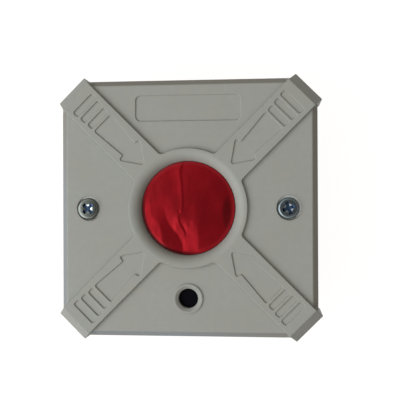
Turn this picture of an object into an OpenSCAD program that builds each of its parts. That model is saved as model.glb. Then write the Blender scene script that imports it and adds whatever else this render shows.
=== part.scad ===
// Square wall-mounted panic button: two-part moulded case, sprung push button with a
// microswitch, recessed reset plunger, and the board that joins them. Lies on its back:
// z = 0 is the wall plane, +Z comes out through the button, +Y is up on the wall.

/* [Case] */
// Width and height of the flat front face
face_w = 80; // [76:1:88]
// Depth from the wall to the front face
case_d = 32; // [31.5:0.5:38]
// Depth of the back box, up to the joint line
box_d = 12; // [9:0.5:14]
// Thickness of the cover's front
face_t = 2.5; // [2:0.1:3]
// Thickness of the cover's walls
wall_t = 2.5; // [2:0.1:3]
// Thickness of the back box's floor
floor_t = 2.5; // [2.2:0.1:3]
// Inward run of the bevel round the front face
bevel_run = 1.8; // [1:0.1:2.4]
// Depth of the bevel round the front face
bevel_drop = 1.5; // [1:0.1:2.4]
// How far each wall spreads from the bevel to the rim
wall_draft = 0.5; // [0.2:0.1:1]
// How far the cover stands past the back box
overhang = 0.8; // [0.4:0.1:1.2]
// Height of the back box's lip inside the cover
lip_h = 3; // [2:0.5:4]
// Thickness of that lip
lip_t = 1.2; // [1:0.1:1.5]
// Clearance of the lip in the cover
lip_gap = 0.3; // [0.2:0.05:0.4]

/* [Raised bars] */
// Width of each diagonal bar
bar_w = 12; // [11:0.5:14]
// Height of the bars and the hub above the front face
bar_rise = 1.2; // [0.8:0.1:1.6]
// Distance from the face's sharp corner back to the top edge of a bar's end
corner_cut = 4.47; // [3.5:0.01:5.5]
// Outward run of the sloped end of a bar
end_run = 3.4; // [2.6:0.1:4]
// Depth of the sloped end of a bar
end_drop = 4.5; // [3.5:0.5:6]
// Radius of the corners between the hub and the bars
hub_fillet = 1.4; // [0.8:0.1:2]

/* [Arrows] */
// Depth of the engraved arrows and ticks
engrave_depth = 0.45; // [0.2:0.05:0.8]
// Gap from the hub's edge to an arrow's tip
tip_gap = 0.5; // [0.4:0.1:1]
// Radius of an arrow's corners
arrow_round = 0.6; // [0.3:0.1:0.7]
// Length of an arrow's head
head_len = 7.1; // [6:0.1:8]
// Width of an arrow's head at its barbs
head_w = 9.8; // [8:0.1:10]
// Gap from the last tick to the bar's end
tick_end = 3.4; // [2.5:0.1:4.5]
// Width of the shaft at the head
shaft_w_in = 5.4; // [4:0.1:6]
// Width of the shaft at its tail
shaft_w_out = 7.6; // [6:0.1:8]
// Number of ticks behind each arrow
tick_count = 3; // [1:1:3]
// Length of one tick along the bar
tick_len = 2.1; // [1.5:0.1:2.2]
// Gap before each tick
tick_gap = 1; // [0.8:0.1:1.2]
// Width of the first tick
tick_w = 7.6; // [7:0.1:8.5]
// Extra width of each tick after the first
tick_grow = 0.6; // [0:0.05:0.8]
// Radius of a tick's corners
tick_round = 0.6; // [0.2:0.1:0.7]

/* [Button] */
// Diameter of the button
button_d = 30; // [28:0.5:31]
// Travel of the button
button_travel = 3; // [2.5:0.1:3.2]
// Gap between the button and its hole
button_gap = 0.3; // [0.25:0.05:0.4]
// Width of the hub ring outside the button's hole
hub_w = 4.1; // [3.9:0.1:5]
// Radius of the rounded mouth of the button's hole
mouth_r = 3.6; // [2:0.1:3.8]
// Depth of the cap's rim below the hub's top
cap_sink = 2.6; // [1.5:0.1:3]
// Thickness of the cap's wall
cap_wall = 1.8; // [1.5:0.1:2.2]
// Thickness of the cap's top
cap_top_t = 2; // [1.6:0.1:2.4]
// Width of the cap's stop flange
flange_w = 1.8; // [1.5:0.1:2.2]
// Thickness of the cap's stop flange
flange_t = 1.8; // [1.5:0.1:2]
// Thickness of the film on the cap
film_t = 0.4; // [0.3:0.05:0.5]
// Share of the cap's side above its flange that the film covers
film_cover = 0.54; // [0.4:0.02:0.6]
// Radius of the film's rounded rim
film_edge = 0.8; // [0.5:0.1:1]
// Rise of the film's dome at its centre
film_dome = 0.4; // [0.2:0.1:1]
// Wall of the tube that guides the cap under the cover
guide_wall = 2.2; // [1.8:0.1:2.6]

/* [Stem and return spring] */
// Diameter of the stem
stem_d = 8; // [7:0.5:9]
// Diameter of the stem's seat disc under the cap
stem_seat_d = 14; // [12:0.5:15]
// Thickness of that disc
stem_seat_t = 2; // [1.5:0.1:2.5]
// Diameter of the spigot on the cap that the stem pushes onto
spigot_d = 4; // [3:0.1:4.5]
// Length of that spigot
spigot_len = 5; // [4:0.1:6]
// Running clearance of the stem in its bush
stem_gap = 0.1; // [0.08:0.01:0.15]
// Radius of the stem's rounded nose
nose_r = 2; // [1.8:0.1:2.2]
// Thickness of the plate that seats the spring
plate_t = 2; // [1.8:0.1:2.4]
// Distance from the plate's screws to its edges
plate_edge = 3.5; // [3:0.1:4.5]
// Spacing of the plate's four screws along X and Y
plate_screw_span = 34; // [33:0.5:36]
// Height of the stem's bush above the plate
bush_h = 2.5; // [2:0.1:3]
// Wall of the stem's bush
bush_wall = 1.8; // [1.5:0.1:2.2]
// Mean diameter of the return spring
spring_d = 22; // [20:0.5:23]
// Wire diameter of the return spring
spring_wire = 0.9; // [0.7:0.1:1]
// Turns of the return spring
spring_turns = 3; // [2.5:0.5:3.5]

/* [Screws] */
// Distance from a cover screw to the side of the face
cover_screw_inset = 7.4; // [6.8:0.1:8]
// Diameter of a cover screw
cover_screw_d = 3.5; // [3:0.1:4]
// Diameter of a cover screw's head
cover_head_d = 7; // [6.5:0.1:7.4]
// Height of a cover screw's head
cover_head_h = 2; // [1.8:0.1:2.6]
// Depth of the round seat that the head sits in
cover_seat_depth = 0.8; // [0.2:0.1:1]
// Length of a cover screw held in its post
cover_screw_grip = 9.5; // [8:0.5:10]
// Height of the posts' tops above the joint line
post_rise = 4; // [3:0.5:5]
// Wall of the screw posts and bosses
post_wall = 2.2; // [1.8:0.1:2.4]
// Turn of the left screw's cross recess
left_turn = 45; // [0:1:89]
// Turn of the right screw's cross recess
right_turn = 20; // [0:1:89]
// Diameter of the small screws on the board and the plate
small_screw_d = 2.5; // [2:0.1:2.6]
// Head diameter of the small screws
small_head_d = 4.5; // [4:0.1:4.8]
// Head height of the small screws
small_head_h = 1.5; // [1.2:0.1:1.7]
// Radial clearance of a screw in its hole
screw_gap = 0.05; // [0.03:0.01:0.1]

/* [Label recess] */
// Width of the bare label recess
label_w = 34; // [30:0.5:36]
// Height of the label recess
label_h = 8.3; // [7:0.1:8.5]
// Distance from the recess's centre to the top of the face
label_inset = 7.45; // [7:0.05:8]
// Corner radius of the recess
label_r = 1.6; // [1:0.1:2]
// Depth of the recess
label_depth = 0.4; // [0.2:0.05:0.6]

/* [Reset] */
// Distance from the reset hole to the bottom of the face
reset_inset = 10.7; // [10:0.1:11.5]
// Diameter of the reset hole
reset_d = 6.4; // [5.8:0.1:6.6]
// Diameter of the countersunk mouth of the hole
reset_mouth_d = 8.4; // [7.6:0.1:8.6]
// Outer diameter of the raised collar
collar_d = 9.6; // [9:0.1:10]
// Height of the collar above the front face
collar_rise = 0.5; // [0.3:0.1:0.8]
// Depth of the countersunk mouth below the collar's top
reset_mouth_depth = 0.8; // [0.5:0.1:1]
// Gap between the plunger and its hole
reset_gap = 0.1; // [0.08:0.01:0.2]
// Depth of the plunger's top below the front face
reset_sink = 1.8; // [1:0.1:2.2]
// Travel of the reset plunger
reset_travel = 1.5; // [1:0.1:1.8]
// Wall of the tube that guides the plunger
reset_tube_wall = 1.6; // [1.2:0.1:2]
// Length of that tube under the cover's front
reset_tube_len = 5; // [4:0.5:6]
// Thickness of the plunger's collar
reset_collar_t = 1.2; // [1:0.1:1.5]
// Diameter of the plunger's lower rod
reset_rod_d = 3.2; // [2.8:0.1:3.4]
// Mean diameter of the reset spring
reset_spring_d = 5.4; // [5.2:0.1:5.8]
// Wire diameter of the reset spring
reset_spring_wire = 0.5; // [0.4:0.05:0.6]
// Turns of the reset spring
reset_spring_turns = 6; // [5:1:7]

/* [Board] */
// Width of the circuit board
board_w = 32; // [31:0.5:34]
// Thickness of the circuit board
board_t = 1.6; // [1.5:0.1:1.8]
// Gap between the board's upper end and the grommet
board_up_gap = 1.1; // [0.8:0.1:1.6]
// Gap between the board's lower end and the box
board_down_gap = 1.3; // [0.8:0.1:1.8]
// Height of the board's standoffs
standoff_h = 2.5; // [2.2:0.1:3]
// Distance from the board's edges to its screws
board_screw_inset = 3.5; // [3.2:0.1:4]

/* [Microswitch] */
// Length of the switch body
switch_l = 12.8; // [12.5:0.1:13.2]
// Width of the switch body
switch_w = 5.8; // [5.6:0.1:6.2]
// Height of the switch body
switch_h = 6.5; // [6:0.1:6.8]
// Distance from the lever's hinge to the stem's nose
lever_arm = 12; // [11.6:0.1:12.4]
// Length of lever past the nose
lever_over = 2; // [1.5:0.1:2.4]
// Width of the lever
lever_w = 3.4; // [3:0.1:3.6]
// Thickness of the lever
lever_t = 0.3; // [0.25:0.05:0.4]
// Angle of the lever at rest
lever_angle = 15; // [14:0.5:16]
// Height of the hinge above the switch body
hinge_rise = 0.5; // [0.4:0.1:0.6]
// Diameter of the lever's hinge pin
hinge_pin_d = 0.8; // [0.7:0.05:0.9]
// Running clearance of the hinge pin and of the switch's plunger
switch_gap = 0.05; // [0.04:0.01:0.08]
// Gap between the stem's nose and the lever
nose_gap = 0.15; // [0.1:0.01:0.2]
// Distance from the hinge to the switch's plunger
plunger_arm = 3; // [2.8:0.1:3.2]
// Diameter of the switch's plunger
plunger_d = 1.8; // [1.6:0.1:2]
// Travel of the switch's plunger
plunger_travel = 0.5; // [0.4:0.02:0.5]

/* [Terminals and parts on the board] */
// Poles of the terminal block
pole_count = 3; // [2:1:3]
// Spacing of the poles
pole_pitch = 5.08; // [5:0.01:5.1]
// Depth of the terminal block
terminal_d = 8; // [7.5:0.1:8.5]
// Height of the terminal block
terminal_h = 10; // [9.5:0.1:10.5]
// Diameter of a wire entry
wire_hole_d = 3; // [2.6:0.1:3.2]
// Diameter of a terminal screw's head
terminal_screw_d = 3.4; // [3:0.1:3.6]
// Width of the relay
relay_w = 7.5; // [7:0.1:8]
// Length of the relay
relay_l = 15; // [14:0.5:15.5]
// Height of the relay
relay_h = 10; // [9:0.1:10.2]
// Diameter of the capacitor
cap_can_d = 6.3; // [5:0.1:6.5]
// Height of the capacitor
cap_can_h = 9; // [7:0.5:10]
// Diameter of a resistor's body
resistor_d = 2.2; // [1.8:0.1:2.4]
// Length of a resistor's body
resistor_l = 6; // [5:0.1:6.5]
// Side of the square reset switch body
reset_switch_w = 7; // [6.6:0.1:7.4]
// Height of the reset switch body
reset_switch_h = 5; // [4.5:0.1:5.5]
// Diameter of the reset switch's stem
reset_stem_d = 3; // [2.6:0.1:3.2]
// Height of the reset switch's stem above its body
reset_stem_h = 3; // [2.6:0.1:3.4]
// Diameter of the round pins under the board's parts
pin_d = 0.9; // [0.7:0.1:1]
// Length of pin below the board
pin_tail = 1.2; // [0.8:0.1:1.5]
// Radial clearance of a pin in its hole in the board
pin_gap = 0.05; // [0.04:0.01:0.1]

/* [Wall fixing and cable] */
// Spacing of the four wall-fixing holes along X and Y
fixing_span = 50; // [48:1:52]
// Diameter of the wall-fixing holes
fixing_d = 4.5; // [4:0.1:5]
// Distance from the cable entry to the top of the face
cable_inset = 10.5; // [10:0.1:11]
// Diameter of the cable's bore in the grommet
cable_d = 7; // [6:0.1:7.4]
// Wall of the grommet at its waist
grommet_wall = 1.4; // [1.2:0.1:1.6]
// Width of the grommet's flanges
grommet_flange = 1.5; // [1.2:0.1:1.6]
// Thickness of the grommet's inner flange
grommet_inner_t = 1; // [0.8:0.1:1.4]
// Depth of the recess for the grommet's outer flange
grommet_recess = 1.1; // [1:0.1:1.2]
// How far the grommet's outer flange lies inside the wall plane
grommet_sink = 0.2; // [0.1:0.05:0.3]

/* [Hidden] */
$fn = 96;

// Overlap that lets a cut run clear of the face it opens
over = 1;

// Levels from the wall out
joint_z = box_d;
face_z = case_d;
ceil_z = face_z - face_t;
hub_z = face_z + bar_rise;

// Half widths of the case
face_half = face_w / 2;
bevel_half = face_half + bevel_run;
rim_half = bevel_half + wall_draft;
cavity_half = bevel_half - wall_t;
box_half = rim_half - overhang;
lip_half = cavity_half - lip_gap;
box_in_half = lip_half - lip_t;

// Places that keep their distance from the face's edges
cover_screw_span = face_w - 2 * cover_screw_inset;
label_y = face_half - label_inset;
reset_y = face_half - reset_inset;
cable_y = face_half - cable_inset;

// Reach of the diagonal bars and of the corners they cut off
bar_reach = face_half * sqrt(2) - corner_cut;
corner_inset = 0.6;
box_corner = bar_reach + end_run - overhang;
cavity_corner = bar_reach - wall_t / 2;
lip_corner = cavity_corner - lip_gap;
box_in_corner = lip_corner - lip_t;

// Button and hub
hole_r = button_d / 2 + button_gap;
cap_r = button_d / 2;
hub_r = hole_r + hub_w;
cap_z = hub_z - cap_sink - film_t;
cap_under_z = cap_z - cap_top_t;
flange_r = cap_r + flange_w;
arrow_tip = hub_r + tip_gap;
arrow_barb = arrow_tip + head_len;
arrow_tail = bar_reach - tick_end - tick_count * (tick_len + tick_gap);
arrow_corner_share = 0.3;
arrow_corner_steps = 3;
arrow_corner_r = min(arrow_round, arrow_corner_share * (head_w - shaft_w_in) / 2);
arrow_side = [[arrow_barb, head_w / 2], [arrow_barb, shaft_w_in / 2], [arrow_tail, shaft_w_out / 2]];
arrow_points = concat([[arrow_tip, 0]], arrow_side,
                      [for (i = [2 : -1 : 0]) [arrow_side[i].x, -arrow_side[i].y]]);
tick_corner_r = min(tick_round, arrow_corner_share * tick_len);

// Outline of the raised star: its hub, its bars and the round corners between them
fillet_steps = 8;
hub_steps = 24;
star_reach = 2 * face_w;
fillet_y = bar_w / 2 + hub_fillet;
fillet_away = hub_r + hub_fillet;
fillet_x = sqrt(fillet_away * fillet_away - fillet_y * fillet_y);
fillet_turn = atan2(fillet_y, fillet_x);
fillet_arc = [for (i = [0 : fillet_steps])
    let (a = 270 + (fillet_turn - 90) * i / fillet_steps)
    [fillet_x + hub_fillet * cos(a), fillet_y + hub_fillet * sin(a)]];
hub_arc = [for (i = [1 : hub_steps - 1])
    let (a = fillet_turn + (90 - 2 * fillet_turn) * i / hub_steps)
    [hub_r * cos(a), hub_r * sin(a)]];
far_fillet = [for (i = [fillet_steps : -1 : 0]) [fillet_arc[i].y, fillet_arc[i].x]];
star_quarter = concat([[star_reach, -bar_w / 2], [star_reach, bar_w / 2]], fillet_arc, hub_arc, far_fillet);
star_points = [for (q = [0 : 3])
    for (p = star_quarter)
        [p.x * cos(90 * q) - p.y * sin(90 * q), p.x * sin(90 * q) + p.y * cos(90 * q)]];

// Board, switch and lever
board_z = floor_t + standoff_h;
board_top = board_z + board_t;
switch_top = board_top + switch_h;
hinge_x = -lever_arm;
hinge_z = switch_top + hinge_rise;
lever_len = lever_arm + lever_over;
nose_reach = lever_t / 2 + nose_gap + nose_r;
nose_z = hinge_z + (nose_reach + lever_arm * sin(lever_angle)) / cos(lever_angle);
lever_tip_z = hinge_z + lever_len * sin(lever_angle) + lever_t / 2;
plunger_low_arm = plunger_arm - plunger_d / 2;
lever_under = plunger_low_arm * tan(lever_angle) - lever_t / 2 / cos(lever_angle);
plunger_top = hinge_z + lever_under - 2 * switch_gap;

// Lever angle with the button pushed in, found from the nose's height there
nose_drop_z = nose_z - hinge_z - button_travel;
nose_dist = norm([lever_arm, nose_drop_z]);
lever_end = atan2(nose_drop_z, lever_arm) - asin(nose_reach / nose_dist);
lever_turn = lever_angle - lever_end;

// Spring plate and button stack
plate_clear = 0.9;
flange_clear = 0.5;
stop_gap = 0.3;
plate_w = plate_screw_span + 2 * plate_edge;
plate_z = lever_tip_z + plate_clear;
plate_top = plate_z + plate_t;
flange_z = plate_top + flange_clear + button_travel;
film_skirt = film_cover * (cap_z - flange_z - flange_t);
guide_z = flange_z + flange_t + stop_gap;
guide_r = hole_r + guide_wall;
bush_r = stem_d / 2 + stem_gap;
stem_low = plate_z + plate_t / 2;
bush_top = plate_top + bush_h;

// Cover screws
cover_seat_z = face_z - cover_seat_depth;
post_z = joint_z + post_rise;
cover_screw_end = post_z - cover_screw_grip;
post_r = cover_screw_d / 2 + screw_gap + post_wall;
seat_gap = 0.45;

// Small screws
small_boss_wall = 1.5;
small_boss_r = small_screw_d / 2 + small_boss_wall;
plate_screw_grip = 6;
board_screw_grip = 3.6;
tip_room = 0.4;

// Reset plunger and switch
plunger_r = reset_d / 2 - reset_gap;
reset_top = face_z - reset_sink;
reset_tube_z = ceil_z - reset_tube_len;
reset_tube_r = reset_d / 2 + reset_tube_wall;
reset_collar_step = 0.2;
reset_collar_r = reset_tube_r - reset_collar_step;
reset_collar_z = reset_tube_z - stop_gap - reset_collar_t;
reset_switch_top = board_top + reset_switch_h;
reset_stem_top = reset_switch_top + reset_stem_h;
reset_switch_floor = 1;
reset_stem_depth = reset_switch_h - reset_switch_floor;

// Grommet
waist_r = cable_d / 2 + grommet_wall;
grommet_r = waist_r + grommet_flange;
grommet_gap = 0.05;

// Places on the board
board_up = cable_y - grommet_r - board_up_gap;
board_down = box_in_half - board_down_gap;
terminal_edge = 1.5;
terminal_y = board_up - terminal_d / 2 - terminal_edge;
switch_tail = 1.3;
switch_x = hinge_x - switch_tail + switch_l / 2;
switch_pin_pitch = 5;
relay_x = -8;
relay_y = -14;
relay_pin_row = 5;
relay_pin_pitch = 6;
can_x = 8;
can_y = -14;
can_pin_pitch = 2.5;
resistor_count = 3;
resistor_pitch = 3.5;
resistor_x = 6.5;
resistor_y = 4;
resistor_lead_d = 0.7;
resistor_lead_len = 1;
resistor_reach = resistor_l / 2 + resistor_lead_len;
reset_pin_row = 4.5;
reset_pin_pitch = 5;
board_mid = (board_up - board_down) / 2;
board_len = board_up + board_down;
board_screw_x = board_w / 2 - board_screw_inset;
board_screw_y = board_len / 2 - board_screw_inset;

// Holes in the board, one for each pin or lead
switch_pin_places = [for (i = [-1 : 1]) [switch_x + i * switch_pin_pitch, 0]];
relay_pin_places = [for (x = [-0.5, 0.5], i = [-1 : 1])
                    [relay_x + x * relay_pin_row, relay_y + i * relay_pin_pitch]];
reset_pin_places = [for (x = [-0.5, 0.5], y = [-0.5, 0.5])
                    [x * reset_pin_row, y * reset_pin_pitch - reset_y]];
terminal_places = [for (i = [0 : pole_count - 1])
                   [(i - (pole_count - 1) / 2) * pole_pitch, terminal_y]];
can_pin_places = [for (x = [-0.5, 0.5]) [can_x + x * can_pin_pitch, can_y]];
resistor_places = [for (i = [0 : resistor_count - 1]) [resistor_x, resistor_y - i * resistor_pitch]];
resistor_pin_places = [for (p = resistor_places, x = [-1, 1]) p + [x * resistor_reach, 0]];
board_holes = concat(switch_pin_places, relay_pin_places, reset_pin_places, terminal_places,
                     can_pin_places, resistor_pin_places);

// Hinge ears of the microswitch
ear_t = 1;
ear_gap = 0.2;
ear_wall = 0.6;
ear_y = lever_w / 2 + ear_gap;
ear_r = hinge_pin_d / 2 + ear_wall;
hinge_pin_inset = 0.1;
plunger_sunk = 1;

// Insides of the terminal block
terminal_screw_h = 2;
clamp_w = 3.8;
clamp_h = 4.4;
clamp_gap = 0.1;
clamp_wall = 0.5;
clamp_foot = 1.5;
clamp_z = board_top + clamp_foot;
terminal_screw_z = clamp_z + clamp_h;

// Cross recess of a pan head, as shares of the head's diameter and height
cross_len = 0.6;
cross_w = 0.13;
cross_depth = 0.65;

// Rings in one turn of a spring, and sides of its wire
turn_steps = 12;
wire_sides = 6;
wire_gap = 0.03;

// Colours as in the photo
grey = [0.59, 0.59, 0.56];
red = [0.55, 0.05, 0.08];
steel = [0.66, 0.68, 0.72];
black = [0.03, 0.03, 0.04];

// Places of repeated fixings
module at_corners(span_x, span_y) {
    for (x = [-1, 1], y = [-1, 1])
        translate([x * span_x / 2, y * span_y / 2, 0])
            children();
}

module at_sides() {
    for (x = [-1, 1])
        translate([x * cover_screw_span / 2, 0, 0])
            children();
}

// Square prism with its corners cut off at a distance along the diagonals
module cut_square(half, corner, z0, z1) {
    intersection() {
        translate([-half, -half, z0])
            cube([2 * half, 2 * half, z1 - z0]);
        rotate([0, 0, 45])
            translate([-corner, -corner, z0])
                cube([2 * corner, 2 * corner, z1 - z0]);
    }
}

// Side outline of the cover swept across its width: drafted wall, then the front bevel
module wall_sweep() {
    rotate([90, 0, 0])
        linear_extrude(height = 4 * face_w, center = true)
            polygon([[-rim_half, joint_z], [rim_half, joint_z],
                     [bevel_half, face_z - bevel_drop], [face_half, face_z],
                     [-face_half, face_z], [-bevel_half, face_z - bevel_drop]]);
}

// Side outline along a diagonal, swept to a width: flat top, sloped ends and drafted feet
module diagonal_sweep(width, inset) {
    top = bar_reach - inset;
    foot = top + end_run;
    base = foot + wall_draft;
    rotate([90, 0, 0])
        linear_extrude(height = width, center = true)
            polygon([[-base, joint_z], [base, joint_z],
                     [foot, hub_z - end_drop], [top, hub_z],
                     [-top, hub_z], [-foot, hub_z - end_drop]]);
}

// Square block of the cover, its corners cut off just behind the ends of the bars
module cover_block() {
    intersection() {
        wall_sweep();
        rotate([0, 0, 90])
            wall_sweep();
        rotate([0, 0, 45])
            diagonal_sweep(4 * face_w, corner_inset);
        rotate([0, 0, 135])
            diagonal_sweep(4 * face_w, corner_inset);
    }
}

// Direction of a vector
function unit(v) = v / norm(v);

// Turn from one direction to another, the short way round
function short_turn(a, b) = (b - a + 540) % 360 - 180;

// Points of the arc that rounds the corner b between the points a and c
function corner_arc(a, b, c, r, steps) =
    let (u = unit(a - b),
         w = unit(c - b),
         half = acos(u * w) / 2,
         mid = b + unit(u + w) * r / sin(half),
         first = b + u * r / tan(half) - mid,
         last = b + w * r / tan(half) - mid,
         start = atan2(first.y, first.x),
         turn = short_turn(start, atan2(last.y, last.x)))
    [for (i = [0 : steps]) mid + r * [cos(start + turn * i / steps), sin(start + turn * i / steps)]];

// Outline with every corner rounded
function rounded(points, r, steps) =
    let (n = len(points))
    [for (i = [0 : n - 1])
        each corner_arc(points[(i + n - 1) % n], points[i], points[(i + 1) % n], r, steps)];

// Corners of one tick, numbered outwards from the arrow
function tick_points(i) =
    let (x = arrow_tail + tick_gap + i * (tick_len + tick_gap),
         y = (tick_w + i * tick_grow) / 2)
    [[x, -y], [x + tick_len, -y], [x + tick_len, y], [x, y]];

// Engraved arrow and its ticks, pointing at the centre along one bar
module arrow_cut() {
    linear_extrude(height = engrave_depth + over) {
        polygon(rounded(arrow_points, arrow_corner_r, arrow_corner_steps));
        for (i = [0 : tick_count - 1])
            polygon(rounded(tick_points(i), tick_corner_r, arrow_corner_steps));
    }
}

// Raised star: the hub and four bars that reach down over the cut corners
module raised_star() {
    rotate([0, 0, 45])
        intersection() {
            translate([0, 0, joint_z - over])
                linear_extrude(height = case_d)
                    polygon(star_points);
            diagonal_sweep(4 * face_w, 0);
            rotate([0, 0, 90])
                diagonal_sweep(4 * face_w, 0);
        }
}

// Rounded mouth of the button's hole: a ring of round section left inside a wide cut
module hole_mouth() {
    ring_r = hole_r + mouth_r;
    difference() {
        translate([0, 0, hub_z - mouth_r])
            cylinder(r = ring_r, h = mouth_r + over);
        translate([0, 0, hub_z - mouth_r])
            rotate_extrude()
                translate([ring_r, 0])
                    circle(r = mouth_r);
    }
}

module rounded_plate(w, h, r, t) {
    translate([-w / 2 + r, -h / 2, 0])
        cube([w - 2 * r, h, t]);
    translate([-w / 2, -h / 2 + r, 0])
        cube([w, h - 2 * r, t]);
    at_corners(w - 2 * r, h - 2 * r)
        cylinder(r = r, h = t);
}

module front_cover() {
    color(grey)
        difference() {
            union() {
                difference() {
                    union() {
                        cover_block();
                        raised_star();
                        translate([0, -reset_y, ceil_z])
                            cylinder(d = collar_d, h = face_t + collar_rise);
                    }
                    cut_square(cavity_half, cavity_corner, joint_z - over, ceil_z);
                }
                translate([0, 0, guide_z])
                    cylinder(r = guide_r, h = face_z - guide_z);
                at_sides()
                    translate([0, 0, post_z])
                        cylinder(r = post_r, h = ceil_z + over - post_z);
                at_corners(plate_screw_span, plate_screw_span)
                    translate([0, 0, plate_top])
                        cylinder(r = small_boss_r, h = ceil_z + over - plate_top);
                translate([0, -reset_y, reset_tube_z])
                    cylinder(r = reset_tube_r, h = ceil_z + over - reset_tube_z);
            }
            hole_mouth();
            translate([0, 0, guide_z - over])
                cylinder(r = hole_r, h = hub_z - guide_z + 2 * over);
            for (a = [45, 135, 225, 315])
                rotate([0, 0, a])
                    translate([0, 0, hub_z - engrave_depth])
                        arrow_cut();
            translate([0, label_y, face_z - label_depth])
                rounded_plate(label_w, label_h, label_r, label_depth + over);
            at_sides() {
                translate([0, 0, post_z - over])
                    cylinder(d = cover_screw_d + 2 * screw_gap, h = case_d);
                translate([0, 0, cover_seat_z])
                    cylinder(d = cover_head_d + 2 * seat_gap, h = cover_seat_depth + over);
            }
            at_corners(plate_screw_span, plate_screw_span)
                translate([0, 0, plate_top - over])
                    cylinder(d = small_screw_d + 2 * screw_gap, h = plate_screw_grip + tip_room + over);
            translate([0, -reset_y, reset_tube_z - over])
                cylinder(d = reset_d, h = case_d);
            translate([0, -reset_y, face_z + collar_rise - reset_mouth_depth])
                cylinder(d1 = reset_d, d2 = reset_mouth_d, h = reset_mouth_depth);
        }
}

module back_box() {
    color(grey)
        difference() {
            union() {
                difference() {
                    union() {
                        cut_square(box_half, box_corner, 0, joint_z);
                        cut_square(lip_half, lip_corner, joint_z - over, joint_z + lip_h);
                    }
                    cut_square(box_in_half, box_in_corner, floor_t, joint_z + lip_h + over);
                }
                at_sides()
                    translate([0, 0, floor_t / 2])
                        cylinder(r = post_r, h = post_z - floor_t / 2);
                translate([0, board_mid, floor_t / 2])
                    at_corners(2 * board_screw_x, 2 * board_screw_y)
                        cylinder(r = small_boss_r, h = board_z - floor_t / 2);
            }
            at_sides()
                translate([0, 0, cover_screw_end - tip_room])
                    cylinder(d = cover_screw_d + 2 * screw_gap, h = case_d);
            translate([0, board_mid, board_z - board_screw_grip - tip_room])
                at_corners(2 * board_screw_x, 2 * board_screw_y)
                    cylinder(d = small_screw_d + 2 * screw_gap, h = board_screw_grip + tip_room + over);
            at_corners(fixing_span, fixing_span)
                translate([0, 0, -over])
                    cylinder(d = fixing_d, h = floor_t + 2 * over);
            translate([0, cable_y, -over]) {
                cylinder(r = waist_r + grommet_gap, h = floor_t + 2 * over);
                cylinder(r = grommet_r + grommet_gap, h = grommet_recess + over);
            }
        }
}

module cable_grommet() {
    color(black)
        translate([0, cable_y, 0])
            difference() {
                union() {
                    translate([0, 0, grommet_sink])
                        cylinder(r = grommet_r, h = grommet_recess - grommet_sink);
                    translate([0, 0, grommet_sink])
                        cylinder(r = waist_r, h = floor_t - grommet_sink + grommet_inner_t);
                    translate([0, 0, floor_t])
                        cylinder(r = grommet_r, h = grommet_inner_t);
                }
                translate([0, 0, -over])
                    cylinder(d = cable_d, h = floor_t + grommet_inner_t + 2 * over);
            }
}

// Pan head with a cross recess, its seat at z = 0, and a plain shank of the thread's diameter
module pan_screw(d, head_d, head_h, len, turn) {
    rim_h = head_h / 2;
    rise = head_h - rim_h;
    dome_r = (head_d * head_d / 4 + rise * rise) / (2 * rise);
    slot_l = head_d * cross_len;
    slot_w = head_d * cross_w;
    slot_depth = head_h * cross_depth;
    difference() {
        intersection() {
            cylinder(d = head_d, h = head_h);
            translate([0, 0, head_h - dome_r])
                sphere(r = dome_r);
        }
        rotate([0, 0, turn])
            for (a = [0, 90])
                rotate([0, 0, a])
                    translate([-slot_l / 2, -slot_w / 2, head_h - slot_depth])
                        cube([slot_l, slot_w, head_h]);
    }
    translate([0, 0, -len])
        cylinder(d = d, h = len + rim_h / 4);
}

module cover_screws() {
    len = cover_seat_z - cover_screw_end;
    turns = [left_turn, right_turn];
    color(steel)
        for (i = [0, 1])
            translate([(i - 0.5) * cover_screw_span, 0, cover_seat_z])
                pan_screw(cover_screw_d, cover_head_d, cover_head_h, len, turns[i]);
}

module button_cap() {
    color(red)
        difference() {
            union() {
                translate([0, 0, flange_z])
                    cylinder(r = flange_r, h = flange_t);
                translate([0, 0, flange_z])
                    cylinder(r = cap_r, h = cap_z - film_skirt - flange_z);
                translate([0, 0, flange_z])
                    cylinder(r = cap_r - film_t, h = cap_z - flange_z);
            }
            difference() {
                translate([0, 0, flange_z - over])
                    cylinder(r = cap_r - cap_wall, h = cap_under_z - flange_z + over);
                translate([0, 0, cap_under_z - spigot_len])
                    cylinder(d = spigot_d, h = spigot_len + over);
            }
        }
}

// Film over the cap: a turned-down skirt, a rounded rim and a shallow dome, as one turned outline
module button_film() {
    rim_z = cap_z + film_t - film_edge;
    edge_steps = 6;
    dome_steps = 8;
    dome_r = cap_r - film_edge;
    rim = [for (i = [0 : edge_steps])
        let (a = 90 * i / edge_steps)
        [dome_r + film_edge * cos(a), rim_z + film_edge * sin(a)]];
    dome = [for (i = [1 : dome_steps])
        let (t = i / dome_steps)
        [dome_r * (1 - t), cap_z + film_t + film_dome * (1 - pow(1 - t, 2))]];
    color(red)
        rotate_extrude()
            polygon(concat([[0, cap_z], [cap_r - film_t, cap_z], [cap_r - film_t, cap_z - film_skirt],
                            [cap_r, cap_z - film_skirt]], rim, dome));
}

module button_stem() {
    color("ivory")
        difference() {
            union() {
                translate([0, 0, nose_z])
                    sphere(r = nose_r);
                translate([0, 0, nose_z])
                    cylinder(r = nose_r, h = cap_under_z - nose_z);
                translate([0, 0, stem_low])
                    cylinder(d = stem_d, h = cap_under_z - stem_low);
                translate([0, 0, cap_under_z - stem_seat_t])
                    cylinder(d = stem_seat_d, h = stem_seat_t);
            }
            translate([0, 0, cap_under_z - spigot_len])
                cylinder(d = spigot_d, h = spigot_len + over);
        }
}

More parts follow.
